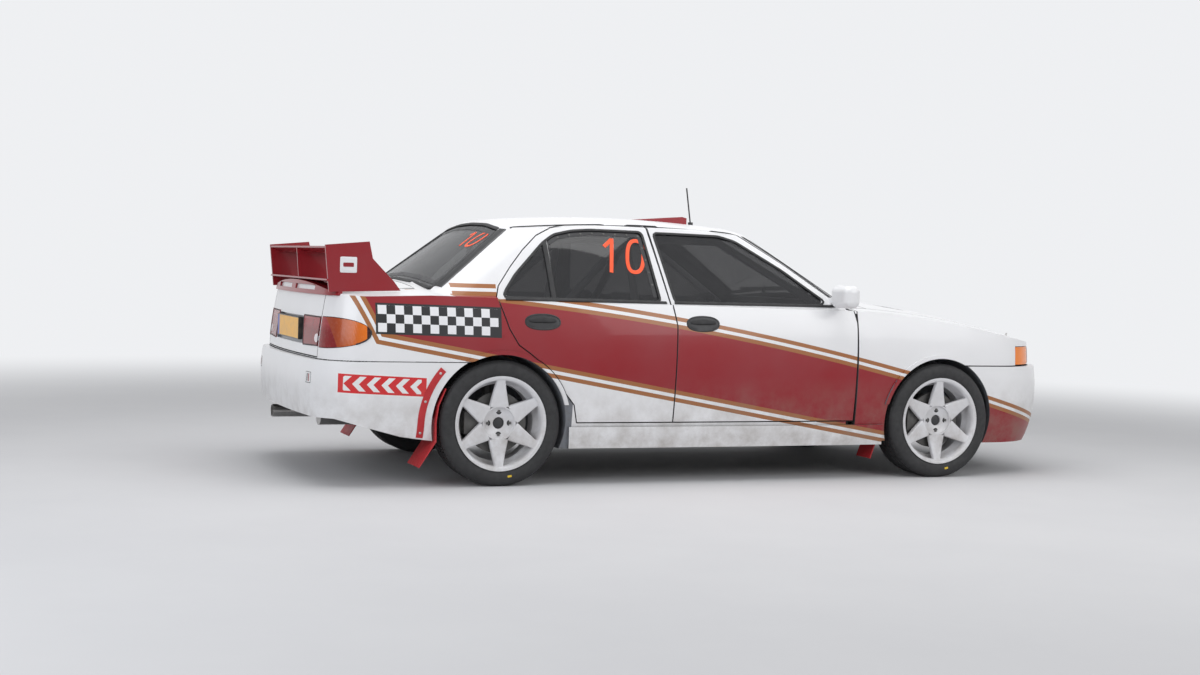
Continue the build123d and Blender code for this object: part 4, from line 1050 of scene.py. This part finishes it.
for seat, sign in (("driver", 1), ("codriver", -1)):
    middle = SEAT_Y * sign
    mesh_piece("seat_shell_" + seat, *seat_shell(middle), "root", "seat_fabric", [SEAT_SHELL],
               ("seats",) if seat == "driver" else (), 50.0)
    for name, (start, end, half, thick) in PADS.items():
        pad = mesh_piece(f"seat_pad_{name}_{seat}", *pad_skin(middle, start, end, half, thick), "root",
                         "seat_fabric", [SEAT_FABRIC], sharp=80.0)
        soften = pad.modifiers.new("softened", "SUBSURF")
        soften.levels = soften.render_levels = 1
    for name, run in BELTS.items():
        share, away = resampled(run, 0.02).T
        for side, hand in (("right", -1), ("left", 1)):
            fine = resampled(np.hstack(on_dish(share, middle + hand * away, BELT_LIFT)), 0.012)
            belt = ribbon(fine[:, :3], fine[:, 3:], 0.048, 0.0016, sink=0.0006)
            trim(f"harness_{name}_{side}_{seat}", belt, "root", "seat_fabric", WEBBING)
    buckle = studs(*on_dish([BUCKLE_SHARE], middle, 0.039), BUCKLE, 28)
    trim("harness_buckle_" + seat, buckle, "root", "steel", STEEL)

# Floor, light and camera.
BACKDROP = (0.86, 0.87, 0.89)
HALF_FLOOR, NEAR_FLOOR, FAR_FLOOR = 60, 3.8, 10.0
ROOM_LIGHT = 0.5
CORNERS = [(-HALF_FLOOR, -HALF_FLOOR, 0), (HALF_FLOOR, -HALF_FLOOR, 0), (HALF_FLOOR, HALF_FLOOR, 0),
           (-HALF_FLOOR, HALF_FLOOR, 0)]
floor_mesh = bpy.data.meshes.new("floor")
floor_mesh.from_pydata(CORNERS, [], [(0, 1, 2, 3)])
floor = bpy.data.objects.new("floor", floor_mesh)
SCENE.collection.objects.link(floor)
ground = Finish("floor_paint", roughness=0.8)
ground.done(ground.cloud((1.2, 6.0, 0.6), 0.3, 0.7, 0.25).mix((0.6, 0.6, 0.61), (0.5, 0.5, 0.52)),
            ground.noise(60.0, 5.0, 0.6), 0.0006, 0.4)
distance = ground.node("VectorMath", {0: ground.place}, out="Value", operation="LENGTH")
fade = ground.node("MapRange", {"Value": distance, "From Min": NEAR_FLOOR, "From Max": FAR_FLOOR},
                   interpolation_type="SMOOTHSTEP")
painted = Value(ground, ground.shader.outputs[0])
glow = ground.node("Emission", {"Color": BACKDROP})
faded = ground.node("MixShader", {0: ground.seen() * fade, 1: painted, 2: glow})
ground.feed(faded, ground.tree.nodes["Material Output"].inputs["Surface"])
floor_mesh.materials.append(ground.material)

world = bpy.data.worlds.new("studio")
SCENE.world = world
world.use_nodes = True
sky = Tree(world.node_tree)
background = sky.tree.nodes["Background"]
sky.feed(BACKDROP, background.inputs["Color"])
sky.feed(sky.seen().ramp(0.0, 1.0, ROOM_LIGHT, 1.0), background.inputs["Strength"])


def soft_light(name, place, aim, size, power, colour=(1, 1, 1)):
    lamp = bpy.data.lights.new(name, "AREA")
    lamp.shape = "RECTANGLE"
    lamp.size, lamp.size_y = size
    lamp.energy = power
    lamp.color = colour
    light = bpy.data.objects.new(name, lamp)
    light.location = place
    light.rotation_euler = (Vector(aim) - Vector(place)).to_track_quat("-Z", "Y").to_euler()
    SCENE.collection.objects.link(light)


soft_light("overhead", (-0.5, -0.5, 5.0), (-0.2, 0, 0), (6, 4), 190)
soft_light("left_window", (-6.5, -4.0, 3.0), (-1.0, 0, 0.7), (4, 3), 150, (0.92, 0.95, 1.0))
soft_light("right_fill", (3.5, -6.0, 3.2), (0.5, 0, 0.6), (4, 3), 120)

CAMERA_PLACE = Vector((-3.835, -8.561, 1.097))
FOCAL_LENGTH, SENSOR_WIDTH = 50.374, 36.0
YAW, PITCH, ROLL = (math.radians(angle) for angle in (21.956, 2.478, 1.795))
ahead = Vector((math.sin(YAW) * math.cos(PITCH), math.cos(YAW) * math.cos(PITCH), -math.sin(PITCH)))
beside = Vector((math.cos(YAW), -math.sin(YAW), 0))
upright = beside.cross(ahead)
across = beside * math.cos(ROLL) + upright * math.sin(ROLL)
upward = upright * math.cos(ROLL) - beside * math.sin(ROLL)
camera_data = bpy.data.cameras.new("camera")
camera_data.lens, camera_data.sensor_width = FOCAL_LENGTH, SENSOR_WIDTH
camera = bpy.data.objects.new("camera", camera_data)
turn = Matrix((across, upward, -ahead)).transposed().to_4x4()
camera.matrix_world = Matrix.Translation(CAMERA_PLACE) @ turn
SCENE.collection.objects.link(camera)
SCENE.camera = camera
SCENE.view_settings.view_transform = "Standard"
